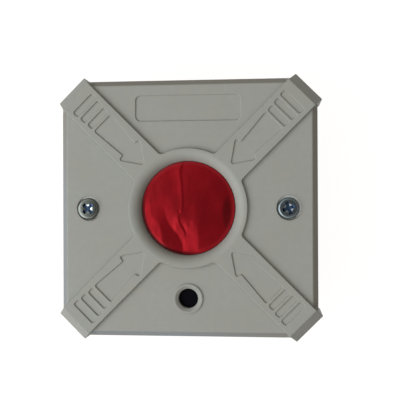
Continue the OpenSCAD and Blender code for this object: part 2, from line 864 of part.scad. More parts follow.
// One unbroken round wire wound at a steady pitch between two flat seats
module coil_spring(mean_d, wire, turns, z0, z1) {
    low = z0 + wire / 2 + wire_gap;
    high = z1 - wire / 2 - wire_gap;
    steps = floor(turns * turn_steps);
    points = [for (i = [0 : steps], j = [0 : wire_sides - 1])
        let (a = 360 * i / turn_steps,
             b = 360 * (j + 0.5) / wire_sides,
             r = mean_d / 2 + wire / 2 * cos(b))
        [r * cos(a), r * sin(a), low + (high - low) * i / steps + wire / 2 * sin(b)]];
    sides = [for (i = [0 : steps - 1], j = [0 : wire_sides - 1])
        let (k = (j + 1) % wire_sides, p = i * wire_sides, q = p + wire_sides)
        each [[p + j, p + k, q + j], [p + k, q + k, q + j]]];
    first = [for (j = [1 : wire_sides - 2]) [0, j + 1, j]];
    top = steps * wire_sides;
    last = [for (j = [1 : wire_sides - 2]) [top, top + j, top + j + 1]];
    echo(spring_turn_gap = (high - low) / turns - wire);
    polyhedron(points = points, faces = concat(sides, first, last), convexity = 10);
}

module return_spring() {
    color(steel)
        coil_spring(spring_d, spring_wire, spring_turns, plate_top, cap_under_z);
}

module spring_plate() {
    color("dimgray")
        difference() {
            union() {
                translate([0, 0, plate_z])
                    rounded_plate(plate_w, plate_w, small_boss_r, plate_t);
                translate([0, 0, plate_z])
                    cylinder(r = bush_r + bush_wall, h = bush_top - plate_z);
            }
            translate([0, 0, plate_z - over])
                cylinder(r = bush_r, h = bush_top - plate_z + 2 * over);
            translate([0, 0, plate_z - over])
                at_corners(plate_screw_span, plate_screw_span)
                    cylinder(d = small_screw_d + 2 * screw_gap, h = plate_t + 2 * over);
        }
}

module plate_screws() {
    color(steel)
        at_corners(plate_screw_span, plate_screw_span)
            translate([0, 0, plate_z])
                rotate([180, 0, 0])
                    pan_screw(small_screw_d, small_head_d, small_head_h, plate_t + plate_screw_grip, 0);
}

module circuit_board() {
    color("darkgreen")
        difference() {
            translate([-board_w / 2, -board_down, board_z])
                cube([board_w, board_len, board_t]);
            translate([0, board_mid, board_z - over])
                at_corners(2 * board_screw_x, 2 * board_screw_y)
                    cylinder(d = small_screw_d + 2 * screw_gap, h = board_t + 2 * over);
            for (p = board_holes)
                translate([p[0], p[1], board_z - over])
                    cylinder(d = pin_d + 2 * pin_gap, h = board_t + 2 * over);
        }
}

module board_screws() {
    color(steel)
        translate([0, board_mid, board_top])
            at_corners(2 * board_screw_x, 2 * board_screw_y)
                pan_screw(small_screw_d, small_head_d, small_head_h, board_t + board_screw_grip, 0);
}

// Round pins from a part's underside through the board
module board_pins(places) {
    for (p = places)
        translate([p[0], p[1], board_z - pin_tail])
            cylinder(d = pin_d, h = board_t + pin_tail);
}

module microswitch_body() {
    pocket_depth = plunger_sunk + plunger_travel + over;
    color("black")
        difference() {
            union() {
                translate([switch_x - switch_l / 2, -switch_w / 2, board_top])
                    cube([switch_l, switch_w, switch_h]);
                for (y = [ear_y, -ear_y - ear_t])
                    translate([hinge_x - ear_r, y, switch_top - over])
                        cube([2 * ear_r, ear_t, over + hinge_rise + ear_r]);
            }
            translate([hinge_x, 0, hinge_z])
                rotate([90, 0, 0])
                    cylinder(d = hinge_pin_d + 2 * switch_gap, h = 2 * switch_w, center = true);
            translate([hinge_x + plunger_arm, 0, switch_top - pocket_depth])
                cylinder(d = plunger_d + 2 * switch_gap, h = pocket_depth + over);
        }
}

module microswitch_lever() {
    pin_len = 2 * (ear_y + ear_t - hinge_pin_inset);
    color(steel)
        translate([hinge_x, 0, hinge_z])
            rotate([0, -lever_angle, 0]) {
                translate([0, -lever_w / 2, -lever_t / 2])
                    cube([lever_len, lever_w, lever_t]);
                rotate([90, 0, 0])
                    cylinder(d = hinge_pin_d, h = pin_len, center = true);
            }
}

module microswitch_plunger() {
    color("firebrick")
        translate([hinge_x + plunger_arm, 0, switch_top - plunger_sunk])
            cylinder(d = plunger_d, h = plunger_top - switch_top + plunger_sunk);
}

module microswitch_pins() {
    color("silver")
        board_pins(switch_pin_places);
}

module reset_plunger() {
    color(black)
        translate([0, -reset_y, 0]) {
            translate([0, 0, reset_collar_z])
                cylinder(r = plunger_r, h = reset_top - reset_collar_z);
            translate([0, 0, reset_collar_z])
                cylinder(r = reset_collar_r, h = reset_collar_t);
            translate([0, 0, reset_stem_top])
                cylinder(d = reset_rod_d, h = reset_collar_z - reset_stem_top + over);
        }
}

module reset_spring() {
    color(steel)
        translate([0, -reset_y, 0])
            coil_spring(reset_spring_d, reset_spring_wire, reset_spring_turns,
                        reset_switch_top, reset_collar_z);
}

module reset_switch_body() {
    color("black")
        difference() {
            translate([-reset_switch_w / 2, -reset_y - reset_switch_w / 2, board_top])
                cube([reset_switch_w, reset_switch_w, reset_switch_h]);
            translate([0, -reset_y, reset_switch_top - reset_stem_depth])
                cylinder(d = reset_stem_d + 2 * switch_gap, h = reset_stem_depth + over);
        }
}

module reset_switch_stem() {
    sunk = reset_stem_depth - reset_travel - stop_gap;
    color("white")
        translate([0, -reset_y, reset_switch_top - sunk])
            cylinder(d = reset_stem_d, h = sunk + reset_stem_h);
}

module reset_switch_pins() {
    color("silver")
        board_pins(reset_pin_places);
}

module at_poles() {
    for (p = terminal_places)
        translate([p[0], p[1], 0])
            children();
}

// Terminal block with a screw shaft from above and a wire entry from the side in each pole
module terminal_block() {
    pocket = clamp_w + 2 * clamp_gap;
    color("forestgreen")
        difference() {
            translate([-pole_count * pole_pitch / 2, terminal_y - terminal_d / 2, board_top])
                cube([pole_count * pole_pitch, terminal_d, terminal_h]);
            at_poles() {
                translate([-pocket / 2, -pocket / 2, clamp_z])
                    cube([pocket, pocket, clamp_h + clamp_gap]);
                translate([0, 0, terminal_screw_z])
                    cylinder(d = terminal_screw_d + 2 * clamp_gap, h = terminal_h);
                translate([0, 0, clamp_z + clamp_h / 2])
                    rotate([-90, 0, 0])
                        cylinder(d = wire_hole_d, h = terminal_d);
                translate([0, 0, board_top - over])
                    cylinder(d = pin_d + 2 * pin_gap, h = clamp_foot + 2 * over);
            }
        }
}

// Metal cage of one pole, its pin going down through the block and the board
module terminal_clamps() {
    color("gold")
        at_poles()
            difference() {
                union() {
                    translate([-clamp_w / 2, -clamp_w / 2, clamp_z])
                        cube([clamp_w, clamp_w, clamp_h]);
                    translate([0, 0, board_z - pin_tail])
                        cylinder(d = pin_d, h = clamp_z - board_z + pin_tail + clamp_wall);
                }
                translate([0, 0, clamp_z + clamp_h / 2])
                    rotate([90, 0, 0])
                        cylinder(d = wire_hole_d, h = 2 * clamp_w, center = true);
            }
}

module terminal_screws() {
    slot_w = 0.6;
    slot_depth = 0.8;
    color(steel)
        at_poles()
            difference() {
                translate([0, 0, terminal_screw_z])
                    cylinder(d = terminal_screw_d, h = terminal_screw_h);
                translate([-terminal_screw_d, -slot_w / 2, terminal_screw_z + terminal_screw_h - slot_depth])
                    cube([2 * terminal_screw_d, slot_w, terminal_screw_h]);
            }
}

module relay_body() {
    edge = 0.6;
    color("dodgerblue")
        translate([relay_x, relay_y, board_top])
            rounded_plate(relay_w, relay_l, edge, relay_h);
}

module relay_pins() {
    color("silver")
        board_pins(relay_pin_places);
}

// Round can with a pressed groove near its foot, on two leads
module capacitor() {
    groove_z = 1.2;
    groove_h = 0.8;
    groove_depth = 0.3;
    color("navy") {
        translate([can_x, can_y, board_top])
            difference() {
                cylinder(d = cap_can_d, h = cap_can_h);
                translate([0, 0, groove_z])
                    difference() {
                        cylinder(d = cap_can_d + over, h = groove_h);
                        cylinder(d = cap_can_d - 2 * groove_depth, h = groove_h);
                    }
            }
        board_pins(can_pin_places);
    }
}

// Axial bodies lying on the board, each with its two leads bent down through it
module resistors() {
    color("tan")
        for (p = resistor_places)
            translate([p[0], p[1], board_top + resistor_d / 2]) {
                rotate([0, 90, 0])
                    cylinder(d = resistor_d, h = resistor_l, center = true);
                rotate([0, 90, 0])
                    cylinder(d = resistor_lead_d, h = 2 * resistor_reach, center = true);
                for (x = [-resistor_reach, resistor_reach])
                    translate([x, 0, -resistor_d / 2 - board_t - pin_tail])
                        cylinder(d = resistor_lead_d, h = resistor_d / 2 + board_t + pin_tail);
            }
}

echo(nose_z = nose_z, lever_turn = lever_turn, hinge_z = hinge_z, plate_z = plate_z,
     plate_top = plate_top, flange_z = flange_z, guide_z = guide_z, plunger_top = plunger_top,
     switch_top = switch_top, reset_stem_top = reset_stem_top, reset_collar_z = reset_collar_z);

front_cover();
back_box();
cover_screws();
cable_grommet();
button_cap();
button_film();
button_stem();
return_spring();
spring_plate();
plate_screws();
circuit_board();
board_screws();
microswitch_body();
microswitch_lever();
microswitch_plunger();
microswitch_pins();
reset_plunger();
reset_spring();
reset_switch_body();
reset_switch_stem();
reset_switch_pins();
terminal_block();
terminal_clamps();
terminal_screws();
relay_body();
relay_pins();
capacitor();
resistors();
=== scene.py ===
"""Looks of a square wall-mounted panic button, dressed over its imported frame.

Sizes are written in millimetres and turned into metres where a mesh or a node takes them. The
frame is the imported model's: z = 0 is the wall plane, +Z comes out through the button and +Y is
up on the wall.
"""

from __future__ import annotations

import logging
import math
from dataclasses import dataclass
from enum import Enum
from typing import Any, Callable, Sequence, Union

import bmesh
import bpy
import numpy as np
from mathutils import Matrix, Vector, noise

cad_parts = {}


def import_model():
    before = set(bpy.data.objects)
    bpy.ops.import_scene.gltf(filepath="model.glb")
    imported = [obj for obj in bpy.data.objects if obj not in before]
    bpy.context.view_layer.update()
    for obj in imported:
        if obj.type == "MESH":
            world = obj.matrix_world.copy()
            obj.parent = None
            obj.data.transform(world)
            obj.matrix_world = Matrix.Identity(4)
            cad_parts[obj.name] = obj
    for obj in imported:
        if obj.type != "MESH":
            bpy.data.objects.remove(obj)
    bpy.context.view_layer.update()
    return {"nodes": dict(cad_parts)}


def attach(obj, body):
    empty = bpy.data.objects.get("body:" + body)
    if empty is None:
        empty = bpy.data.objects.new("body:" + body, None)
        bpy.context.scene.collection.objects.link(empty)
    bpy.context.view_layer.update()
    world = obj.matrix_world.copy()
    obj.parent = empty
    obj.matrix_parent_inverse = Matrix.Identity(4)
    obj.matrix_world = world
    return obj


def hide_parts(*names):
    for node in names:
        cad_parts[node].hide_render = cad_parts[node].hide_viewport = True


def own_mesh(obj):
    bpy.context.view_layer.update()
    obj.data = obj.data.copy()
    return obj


LOG = logging.getLogger("panic_button")
MM = 0.001
NO_SHIFT = (0.0, 0.0, 0.0)

Colour = tuple[float, float, float]
Point2 = tuple[float, float]
Point3 = tuple[float, float, float]
Line = tuple[Point2, ...]
Nodes = dict[str, bpy.types.Object]
Operand = Union["Value", float]


class Body(Enum):
    """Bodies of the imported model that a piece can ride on."""

    CASE = "case"
    BUTTON = "button"
    RESET = "reset"


class Facing(Enum):
    """Which way the heads of a set of screws point."""

    FRONT = 0.0
    WALL = math.pi


def paint(red: int, green: int, blue: int) -> Colour:
    """Turns a paint's display colour into the linear colour that a shader takes.

    Args:
        red: Red from 0 to 255.
        green: Green from 0 to 255.
        blue: Blue from 0 to 255.

    Returns:
        The linear colour.
    """

    def linear(level: int) -> float:
        """Turns one level into its linear share."""
        share = level / 255
        return share / 12.92 if share <= 0.04045 else ((share + 0.055) / 1.055) ** 2.4

    return linear(red), linear(green), linear(blue)


def toned(colour: Colour, share: float) -> Colour:
    """Makes a colour lighter or darker by a share, where 1 leaves it as it is."""
    return tuple(min(1.0, level * share) for level in colour)


def smooth_step(low: float, high: float, value: float) -> float:
    """Rises smoothly from 0 at low to 1 at high."""
    share = min(1.0, max(0.0, (value - low) / (high - low)))
    return share * share * (3 - 2 * share)


def operator(operation: str, reflected: bool = False) -> Callable[[Value, Operand], Value]:
    """Makes the method of one of Python's operators.

    Args:
        operation: Operation of the Math node that it adds.
        reflected: Whether its value stands on the operator's right.

    Returns:
        The method.
    """

    def applied(self: Value, other: Operand) -> Value:
        """Adds the Math node."""
        return self.math(operation, *((other, self) if reflected else (self, other)))

    return applied


class Value:
    """One output of a node, on which Python's operators add Math nodes."""

    __add__, __radd__ = operator("ADD"), operator("ADD", True)
    __sub__, __rsub__ = operator("SUBTRACT"), operator("SUBTRACT", True)
    __mul__, __rmul__ = operator("MULTIPLY"), operator("MULTIPLY", True)
    __truediv__, __rtruediv__ = operator("DIVIDE"), operator("DIVIDE", True)

    def __init__(self, graph: Graph, socket: bpy.types.NodeSocket) -> None:
        """Keeps the socket and the graph that it belongs to."""
        self.graph = graph
        self.socket = socket

    def other(self, name: str) -> Value:
        """Another output of the same node, by its name."""
        return Value(self.graph, self.socket.node.outputs[name])

    def math(self, operation: str, *operands: Operand) -> Value:
        """Result of one Math node, given its operation and its inputs in order."""
        return self.graph.node("ShaderNodeMath", {"operation": operation}, dict(enumerate(operands)))

    def __pow__(self, power: float) -> Value:
        """Raises to a power, with what is below zero taken as zero."""
        return self.math("POWER", self.larger(0.0), power)

    def __abs__(self) -> Value:
        """The value without its sign."""
        return self.math("ABSOLUTE", self)

    def larger(self, other: Operand) -> Value:
        """The larger of two values."""
        return self.math("MAXIMUM", self, other)

    def sign(self) -> Value:
        """Minus one, zero or one."""
        return self.math("SIGN", self)

    def sin(self) -> Value:
        """Sine of an angle in radians."""
        return self.math("SINE", self)

    def cos(self) -> Value:
        """Cosine of an angle in radians."""
        return self.math("COSINE", self)

    def between(self, low: float, high: float) -> Value:
        """Rises smoothly from 0 at low to 1 at high."""
        settings = {"interpolation_type": "SMOOTHSTEP"}
        return self.graph.node("ShaderNodeMapRange", settings, {0: self, 1: low, 2: high})


class Graph:
    """A node tree and the one way that nodes are added to it."""

    def __init__(self, tree: bpy.types.NodeTree) -> None:
        """Starts from an empty tree."""
        self.tree = tree
        self.tree.nodes.clear()

    def node(
        self,
        kind: str,
        settings: dict[str, Any] | None = None,
        inputs: dict[str | int, Any] | None = None,
        output: str | int = 0,
    ) -> Value:
        """Adds a node.

        Args:
            kind: The node's type.
            settings: Its own settings, set first; "stops" are a ramp's places and colours.
            inputs: Numbers, links or lists of links for its sockets, by name or index.
            output: The output to give back.

        Returns:
            That output.
        """
        made = self.tree.nodes.new(kind)
        for key, setting in (settings or {}).items():
            if key == "stops":
                self._set_stops(made.color_ramp, setting)
            else:
                setattr(made, key, setting)
        for key, given in (inputs or {}).items():
            for one in given if isinstance(given, list) else [given]:
                if isinstance(one, Value):
                    self.tree.links.new(one.socket, made.inputs[key])
                else:
                    made.inputs[key].default_value = one
        return Value(self, made.outputs[output] if made.outputs else None)

    def mixed(self, factor: Operand, first: Value | Colour, second: Value | Colour) -> Value:
        """Mixes two colours.

        Args:
            factor: Share of the second colour.
            first: The colour at 0.
            second: The colour at 1.

        Returns:
            The mixed colour.
        """
        colours = [one if isinstance(one, Value) else (*one, 1.0) for one in (first, second)]
        settings = {"data_type": "RGBA", "clamp_factor": True}
        return self.node("ShaderNodeMix", settings, {0: factor, 6: colours[0], 7: colours[1]}, 2)

    @staticmethod
    def _set_stops(ramp: bpy.types.ColorRamp, stops: Sequence[tuple[float, Colour]]) -> None:
        """Gives a colour ramp its stops.

        Args:
            ramp: The ramp.
            stops: Places from 0 to 1, each with its colour.
        """
        while len(ramp.elements) < len(stops):
            ramp.elements.new(1.0)
        for element, (place, colour) in zip(ramp.elements, stops):
            element.position = place
            element.color = (*colour, 1.0)


class Shader(Graph):
    """Node tree of one material, with the few nodes that the finishes share."""

    def __init__(self, name: str) -> None:
        """Makes an empty material.

        Args:
            name: The material's name.
        """
        self.material = bpy.data.materials.new(name)
        self.material.use_nodes = True
        super().__init__(self.material.node_tree)

    def place(self) -> Value:
        """Place on the piece, in metres of the shared frame."""
        return self.node("ShaderNodeTexCoord", output="Object")

    def along(self, place: Value, axis: str) -> Value:
        """A place's distance along one axis, in millimetres."""
        return self.node("ShaderNodeSeparateXYZ", {}, {0: place}, axis) / MM

    def moved(self, place: Value, origin_mm: Point3, stretch: Point3 = (1, 1, 1)) -> Value:
        """Moves a pattern's origin and stretches it.

        Args:
            place: The place to start from.
            origin_mm: The pattern's new origin.
            stretch: How much finer the pattern gets along each axis.

        Returns:
            The new place.
        """
        shift = tuple(-at * MM * by for at, by in zip(origin_mm, stretch))
        inputs = {"Vector": place, "Location": shift, "Scale": tuple(stretch)}
        return self.node("ShaderNodeMapping", {}, inputs)

    def noise(self, place: Value, size_mm: float, detail: float = 2.0) -> Value:
        """Soft noise about 0.5 at a place, with blots of a size and finer layers as detail."""
        inputs = {"Vector": place, "Scale": 1 / (size_mm * MM), "Detail": detail}
        return self.node("ShaderNodeTexNoise", {}, inputs)

    def bump(self, height: Value, depth_mm: float) -> Value:
        """Bumped normal of a height from 0 to 1, where 1 stands for a depth."""
        return self.node("ShaderNodeBump", {}, {"Height": height, "Distance": depth_mm * MM})

    def surface(self, sockets: dict[str | int, Any]) -> bpy.types.Material:
        """Ends the tree in one principled surface.

        Args:
            sockets: Its inputs by name.

        Returns:
            The finished material.
        """
        made = self.node("ShaderNodeBsdfPrincipled", {}, sockets)
        self.node("ShaderNodeOutputMaterial", {}, {"Surface": made})
        return self.material


def span(x: Value, y: Value) -> Value:
    """Distance of a point from the origin of two axes."""
    return (x * x + y * y) ** 0.5


@dataclass(frozen=True)
class Finish:
    """A finish with a name, painted once and shared by its pieces."""

    name: str
    colour: Colour

    def material(self) -> bpy.types.Material:
        """The finish's material, made when it is first asked for."""
        name = self.name + "_finish"
        return bpy.data.materials.get(name) or self.painted(Shader(name))

    def painted(self, shader: Shader) -> bpy.types.Material:
        """Paints the material in an empty tree."""
        raise NotImplementedError


@dataclass(frozen=True)
class MouldedPlastic(Finish):
    """Satin moulded plastic: a fine spark-eroded grain, faint flow clouds and handling marks."""

    roughness: float = 0.5
    cloud: float = 0.05
    cloud_mm: float = 16.0
    grain_mm: float = 0.45
    grain_depth_mm: float = 0.012
    aged: Colour | None = None
    specular: float = 0.4
    close_share: float = 1 / 7
    rubbed_share: float = 0.6
    speck_range: Point2 = (0.62, 0.7)
    speck_tone: float = 0.55
    grain_rough: float = 0.12
    rubbed_gloss: float = 0.08

    def painted(self, shader: Shader) -> bpy.types.Material:
        """Paints clouds, grain and glossy handling marks.

        Args:
            shader: An empty tree.

        Returns:
            Its material.
        """
        place = shader.place()
        broad = shader.noise(place, self.cloud_mm, 3.0)
        close = shader.noise(place, self.cloud_mm * self.close_share, 4.0)
        grain = shader.noise(place, self.grain_mm, 1.0)
        rubbed_and_highlight = shader.noise(place, self.cloud_mm * self.rubbed_share, 5.0).between(0.45, 0.75)
        aged = self.aged or self.colour
        base = shader.mixed(broad.between(0.3, 0.7), self.colour, aged)
        tone = shader.mixed(close.between(0.25, 0.75), toned(self.colour, 1 - self.cloud), base)
        speck = (close * 0.5 + grain * 0.5).between(*self.speck_range) * self.cloud
        colour = shader.mixed(speck, tone, toned(self.colour, self.speck_tone))
        rough = self.roughness + (grain - 0.5) * self.grain_rough - rubbed_and_highlight * self.rubbed_gloss
        return shader.surface(
            {
                "Base Color": self.painted_shading(shader, place, colour),
                "Roughness": rough,
                "Specular IOR Level": self.specular,
                "Normal": shader.bump(grain, self.grain_depth_mm),
            }
        )

    def painted_shading(self, shader: Shader, place: Value, colour: Value) -> Value:
        """Adds painted light and shade; plain plastic has none."""
        return colour


@dataclass(frozen=True)
class CasePlastic(MouldedPlastic):
    """Case plastic whose slopes get painted shade, warm at the top right and cool at the lower left.

    The seats of its screws get a painted highlight at their upper right.
    """

    # Colours of the painted shade on the slopes: warm at the top right, cool at the lower left.
    slope_shade_warm: Colour = (0.235, 0.222, 0.193)
    shade: Colour = (0.258, 0.273, 0.280)
    slope_shade_range_mm: Point2 = (-45.0, 0.0)
    front_half_mm: float = 40.0
    front_mm: float = 32.0
    end_mm: float = 73.2
    # Colour of the painted highlight in the upper right of each screw's seat.
    seat: Colour = (0.80, 0.81, 0.79)
    seat_x_mm: float = 32.6
    seat_reach_mm: float = 4.1
    seat_highlight_range_mm: Point2 = (-2.0, 1.5)

    def painted_shading(self, shader: Shader, place: Value, colour: Value) -> Value:
        """Paints shade on the slopes and a highlight in the upper right of the screws' seats.

        Args:
            shader: The finish's tree.
            place: Place on the piece.
            colour: The plastic's colour.

        Returns:
            The colour with its painted shade and highlight.
        """
        x, y, z = (shader.along(place, axis) for axis in "XYZ")
        wide, high = abs(x), abs(y)
        slope = wide.larger(high).between(self.front_half_mm - 0.1, self.front_half_mm + 0.3)
        below = 1 - z.between(self.front_mm - 0.1, self.front_mm + 0.2)
        beside_ends = 1 - (wide + high).between(self.end_mm - 0.4, self.end_mm)
        # Painted shade: the slopes darken, warm towards the top right and cool towards the lower left.
        slope_tone = shader.mixed((x + y).between(*self.slope_shade_range_mm), self.shade, self.slope_shade_warm)
        slope_shaded = shader.mixed(slope * below * beside_ends, colour, slope_tone)
        # Painted highlight: the upper right of each screw's seat turns pale.
        beside = x - x.sign() * self.seat_x_mm
        in_seat = 1 - span(beside, y).between(self.seat_reach_mm - 0.1, self.seat_reach_mm + 0.1)
        sunk = 1 - z.between(self.front_mm - 0.25, self.front_mm - 0.05)
        return shader.mixed(in_seat * sunk * (beside + y).between(*self.seat_highlight_range_mm), slope_shaded, self.seat)


@dataclass(frozen=True)
class FoilFilm(Finish):
    """Glossy coloured film with a foil's tinted shine, fine wrinkles and painted shade on a band and its
    rim.
    """

    shine: float = 0.8
    roughness: float = 0.32
    wrinkle_mm: float = 2.4
    wrinkle_depth_mm: float = 0.04
    coat: float = 0.015
    # A dark band near the right edge is painted shade.
    band_shade_at: Point2 = (12.6, -1.6)
    band_shade_reach: Point2 = (1.8, 6.5)
    band_shade_dark: float = 0.45
    rim_mm: float = 14.6
    # The rim's lower left gets a painted shadow; wear dulls the shine on its other side.
    rim_shadow_way: Point2 = (-0.75, -0.66)
    rim_shadow: float = 0.75
    rim_shadow_mm: Point2 = (5.0, 12.0)
    rim_worn: float = 0.35
    rim_worn_mm: Point2 = (-2.0, 6.0)
    wrinkle_stretch: Point3 = (1.0, 0.55, 1.0)
    cloud_tones: Point2 = (0.9, 1.08)
    shade_tone: float = 0.02
    fine_rough: float = 0.16
    cloud_rough: float = 0.06
    coat_rough: float = 0.25

    def painted(self, shader: Shader) -> bpy.types.Material:
        """Paints the tinted shine and its wrinkles.

        Args:
            shader: An empty tree.

        Returns:
            Its material.
        """
        place = shader.place()
        stretched = shader.moved(place, NO_SHIFT, self.wrinkle_stretch)
        wrinkle = shader.noise(stretched, self.wrinkle_mm, 3.0)
        fine = shader.noise(place, self.wrinkle_mm / 6, 2.0)
        cloud = shader.noise(place, self.wrinkle_mm * 3, 3.0)
        dark, light = (toned(self.colour, tone) for tone in self.cloud_tones)
        unshaded = shader.mixed(cloud.between(0.3, 0.7), dark, light)
        # Painted shade darkens the film towards black in the band and on the rim's lower left.
        shaded_colour = toned(self.colour, self.shade_tone)
        colour = shader.mixed(self.painted_shade(shader, place), unshaded, shaded_colour)
        rough = self.roughness + (fine - 0.5) * self.fine_rough
        rough = rough + cloud.between(0.45, 0.8) * self.cloud_rough
        height = wrinkle * 0.75 + fine * 0.25
        return shader.surface(
            {
                "Base Color": colour,
                "Metallic": self.shine - self.worn_rim(shader, place) * self.rim_worn,
                "Roughness": rough,
                "Coat Weight": self.coat,
                "Coat Roughness": self.coat_rough,
                "Normal": shader.bump(height, self.wrinkle_depth_mm),
            }
        )

    def worn_rim(self, shader: Shader, place: Value) -> Value:
        """Share of wear on the rim's unshaded side, where the foil has lost its shine.

        Args:
            shader: The finish's tree.
            place: Place on the piece.

        Returns:
            The share, from 0 to 1.
        """
        x, y = (shader.along(place, axis) for axis in "XY")
        rim = span(x, y).between(self.rim_mm - 0.9, self.rim_mm + 0.5)
        return rim * (1 - self.shadow_way(x, y).between(*self.rim_worn_mm))

    def shadow_way(self, x: Value, y: Value) -> Value:
        """Distance towards the side of the rim with painted shadow, in millimetres."""
        return x * self.rim_shadow_way[0] + y * self.rim_shadow_way[1]

    def painted_shade(self, shader: Shader, place: Value) -> Value:
        """Share of painted shade: a dark band at one side and a shadow on the rim at the other.

        Args:
            shader: The finish's tree.
            place: Place on the piece.

        Returns:
            The share, from 0 to 1.
        """
        x, y = (shader.along(place, axis) for axis in "XY")
        beside = (x - self.band_shade_at[0]) / self.band_shade_reach[0]
        above = (y - self.band_shade_at[1]) / self.band_shade_reach[1]
        band_shade = 1 - (beside * beside + above * above).between(0.2, 1.0)
        rim = span(x, y).between(self.rim_mm - 0.5, self.rim_mm)
        near = self.shadow_way(x, y).between(*self.rim_shadow_mm)
        return band_shade * self.band_shade_dark + rim * near * self.rim_shadow


@dataclass(frozen=True)
class PlatedMetal(Finish):
    """Plated or drawn metal: cloudy plating, fine tool marks and dull spots."""

    roughness: float = 0.34
    tint: Colour | None = None
    cloud_mm: float = 1.6
    mark_mm: float = 0.25
    mark_stretch: Point3 = (1.0, 1.0, 5.0)
    mark_depth_mm: float = 0.006
    mark_rough: float = 0.2
    dull_rough: float = 0.15
    dull_tone: float = 0.5

    def painted(self, shader: Shader) -> bpy.types.Material:
        """Paints the plating's clouds and marks.

        Args:
            shader: An empty tree.

        Returns:
            Its material.
        """
        place = shader.place()
        cloud = shader.noise(place, self.cloud_mm, 4.0)
        marks = shader.noise(shader.moved(place, NO_SHIFT, self.mark_stretch), self.mark_mm, 2.0)
        dull = cloud.between(0.5, 0.75)
        tint = self.tint or toned(self.colour, 0.8)
        plated = shader.mixed(cloud.between(0.35, 0.65), self.colour, tint)
        spotted = shader.mixed(dull * 0.5, plated, toned(self.colour, self.dull_tone))
        rough = self.roughness + (marks - 0.5) * self.mark_rough + dull * self.dull_rough
        return shader.surface(
            {
                "Base Color": self.stains_and_light(shader, place, spotted),
                "Metallic": 1.0,
                "Roughness": rough,
                "Normal": shader.bump(marks, self.mark_depth_mm),
            }
        )

    def stains_and_light(self, shader: Shader, place: Value, colour: Value) -> Value:
        """Adds stains and painted light; plain plating has none."""
        return colour


@dataclass(frozen=True)
class PooledZinc(PlatedMetal):
    """Zinc plate of a pair of screws, blue in the recesses, which get painted highlights and shade."""

    blued: Colour = (0.17, 0.215, 0.25)
    blued_share: float = 0.8
    flank: Colour = (0.13, 0.14, 0.13)
    flank_share: float = 0.75
    flank_mm: float = 2.5
    pool: Colour = (0.08, 0.14, 0.25)
    # Colour of the painted highlight on the upper right flanks of the recesses.
    rubbed_and_highlight: Colour = (0.80, 0.83, 0.86)
    # Colour of the painted shade at the ends of the recess wings.
    painted_shade: Colour = (0.02, 0.028, 0.045)
    axis_mm: float = 32.6
    core_mm: float = 1.5
    reach_mm: float = 2.3
    level_mm: float = 32.65
    top_mm: float = 33.18
    right_share: float = 0.3

    def stains_and_light(self, shader: Shader, place: Value, colour: Value) -> Value:
        """Adds the blue floor, and paints highlights on the flanks and shade at the ends, of both
        recesses.

        Args:
            shader: The finish's tree.
            place: Place on the piece.
            colour: The plating's colour.

        Returns:
            The colour with its blue floor and its painted highlights and shade.
        """
        x, above, level = (shader.along(place, axis) for axis in "XYZ")
        beside = x - x.sign() * self.axis_mm
        away = span(beside, above)
        inside = 1 - away.between(self.reach_mm - 0.2, self.reach_mm)
        lower = (1 - level.between(self.top_mm - 0.06, self.top_mm)) * inside
        right = x.between(-1.0, 1.0)
        side = 1 - right * (1 - self.right_share)
        plate = shader.mixed(right * self.blued_share, colour, self.blued)
        outer = away.between(self.flank_mm - 0.3, self.flank_mm + 0.2)
        edged = shader.mixed(outer * side * self.flank_share, plate, self.flank)
        # Painted highlight: the upper right flanks of each recess turn nearly white, most on the left
        # screw.
        highlit = shader.mixed(lower * side * (beside + above).between(0.0, 0.4), edged, self.rubbed_and_highlight)
        sunk = 1 - level.between(self.level_mm - 0.25, self.level_mm)
        blue = shader.mixed(inside * sunk, highlit, self.pool)
        # Painted shade: the ends of the recess wings turn nearly black.
        ends = lower * away.between(self.core_mm, self.core_mm + 0.3)
        return shader.mixed(ends, blue, self.painted_shade)


@dataclass(frozen=True)
class BoardMask(Finish):
    """Solder mask over copper: lighter tracks that run square under the green."""

    track_mm: float = 5.0
    track_waves: float = 6.0
    track_tone: float = 1.9
    track_depth_mm: float = 0.035
    cloud_mm: float = 7.0
    cloud_tones: Point2 = (0.85, 1.1)
    roughness: float = 0.28
    cloud_rough: float = 0.12

    def painted(self, shader: Shader) -> bpy.types.Material:
        """Paints the mask and the tracks that show through it.

        Args:
            shader: An empty tree.

        Returns:
            Its material.
        """
        place = shader.place()
        settings = {"feature": "F1", "distance": "MANHATTAN", "voronoi_dimensions": "2D"}
        inputs = {"Vector": place, "Scale": 1 / (self.track_mm * MM)}
        cell = shader.node("ShaderNodeTexVoronoi", settings, inputs)
        track = (cell * self.track_waves).sin().between(0.55, 0.8)
        cloud = shader.noise(place, self.cloud_mm, 3.0)
        dark, light = (toned(self.colour, tone) for tone in self.cloud_tones)
        mask = shader.mixed(cloud, dark, light)
        return shader.surface(
            {
                "Base Color": shader.mixed(track, mask, toned(self.colour, self.track_tone)),
                "Roughness": self.roughness + cloud * self.cloud_rough,
                "Normal": shader.bump(track, self.track_depth_mm),
            }
        )


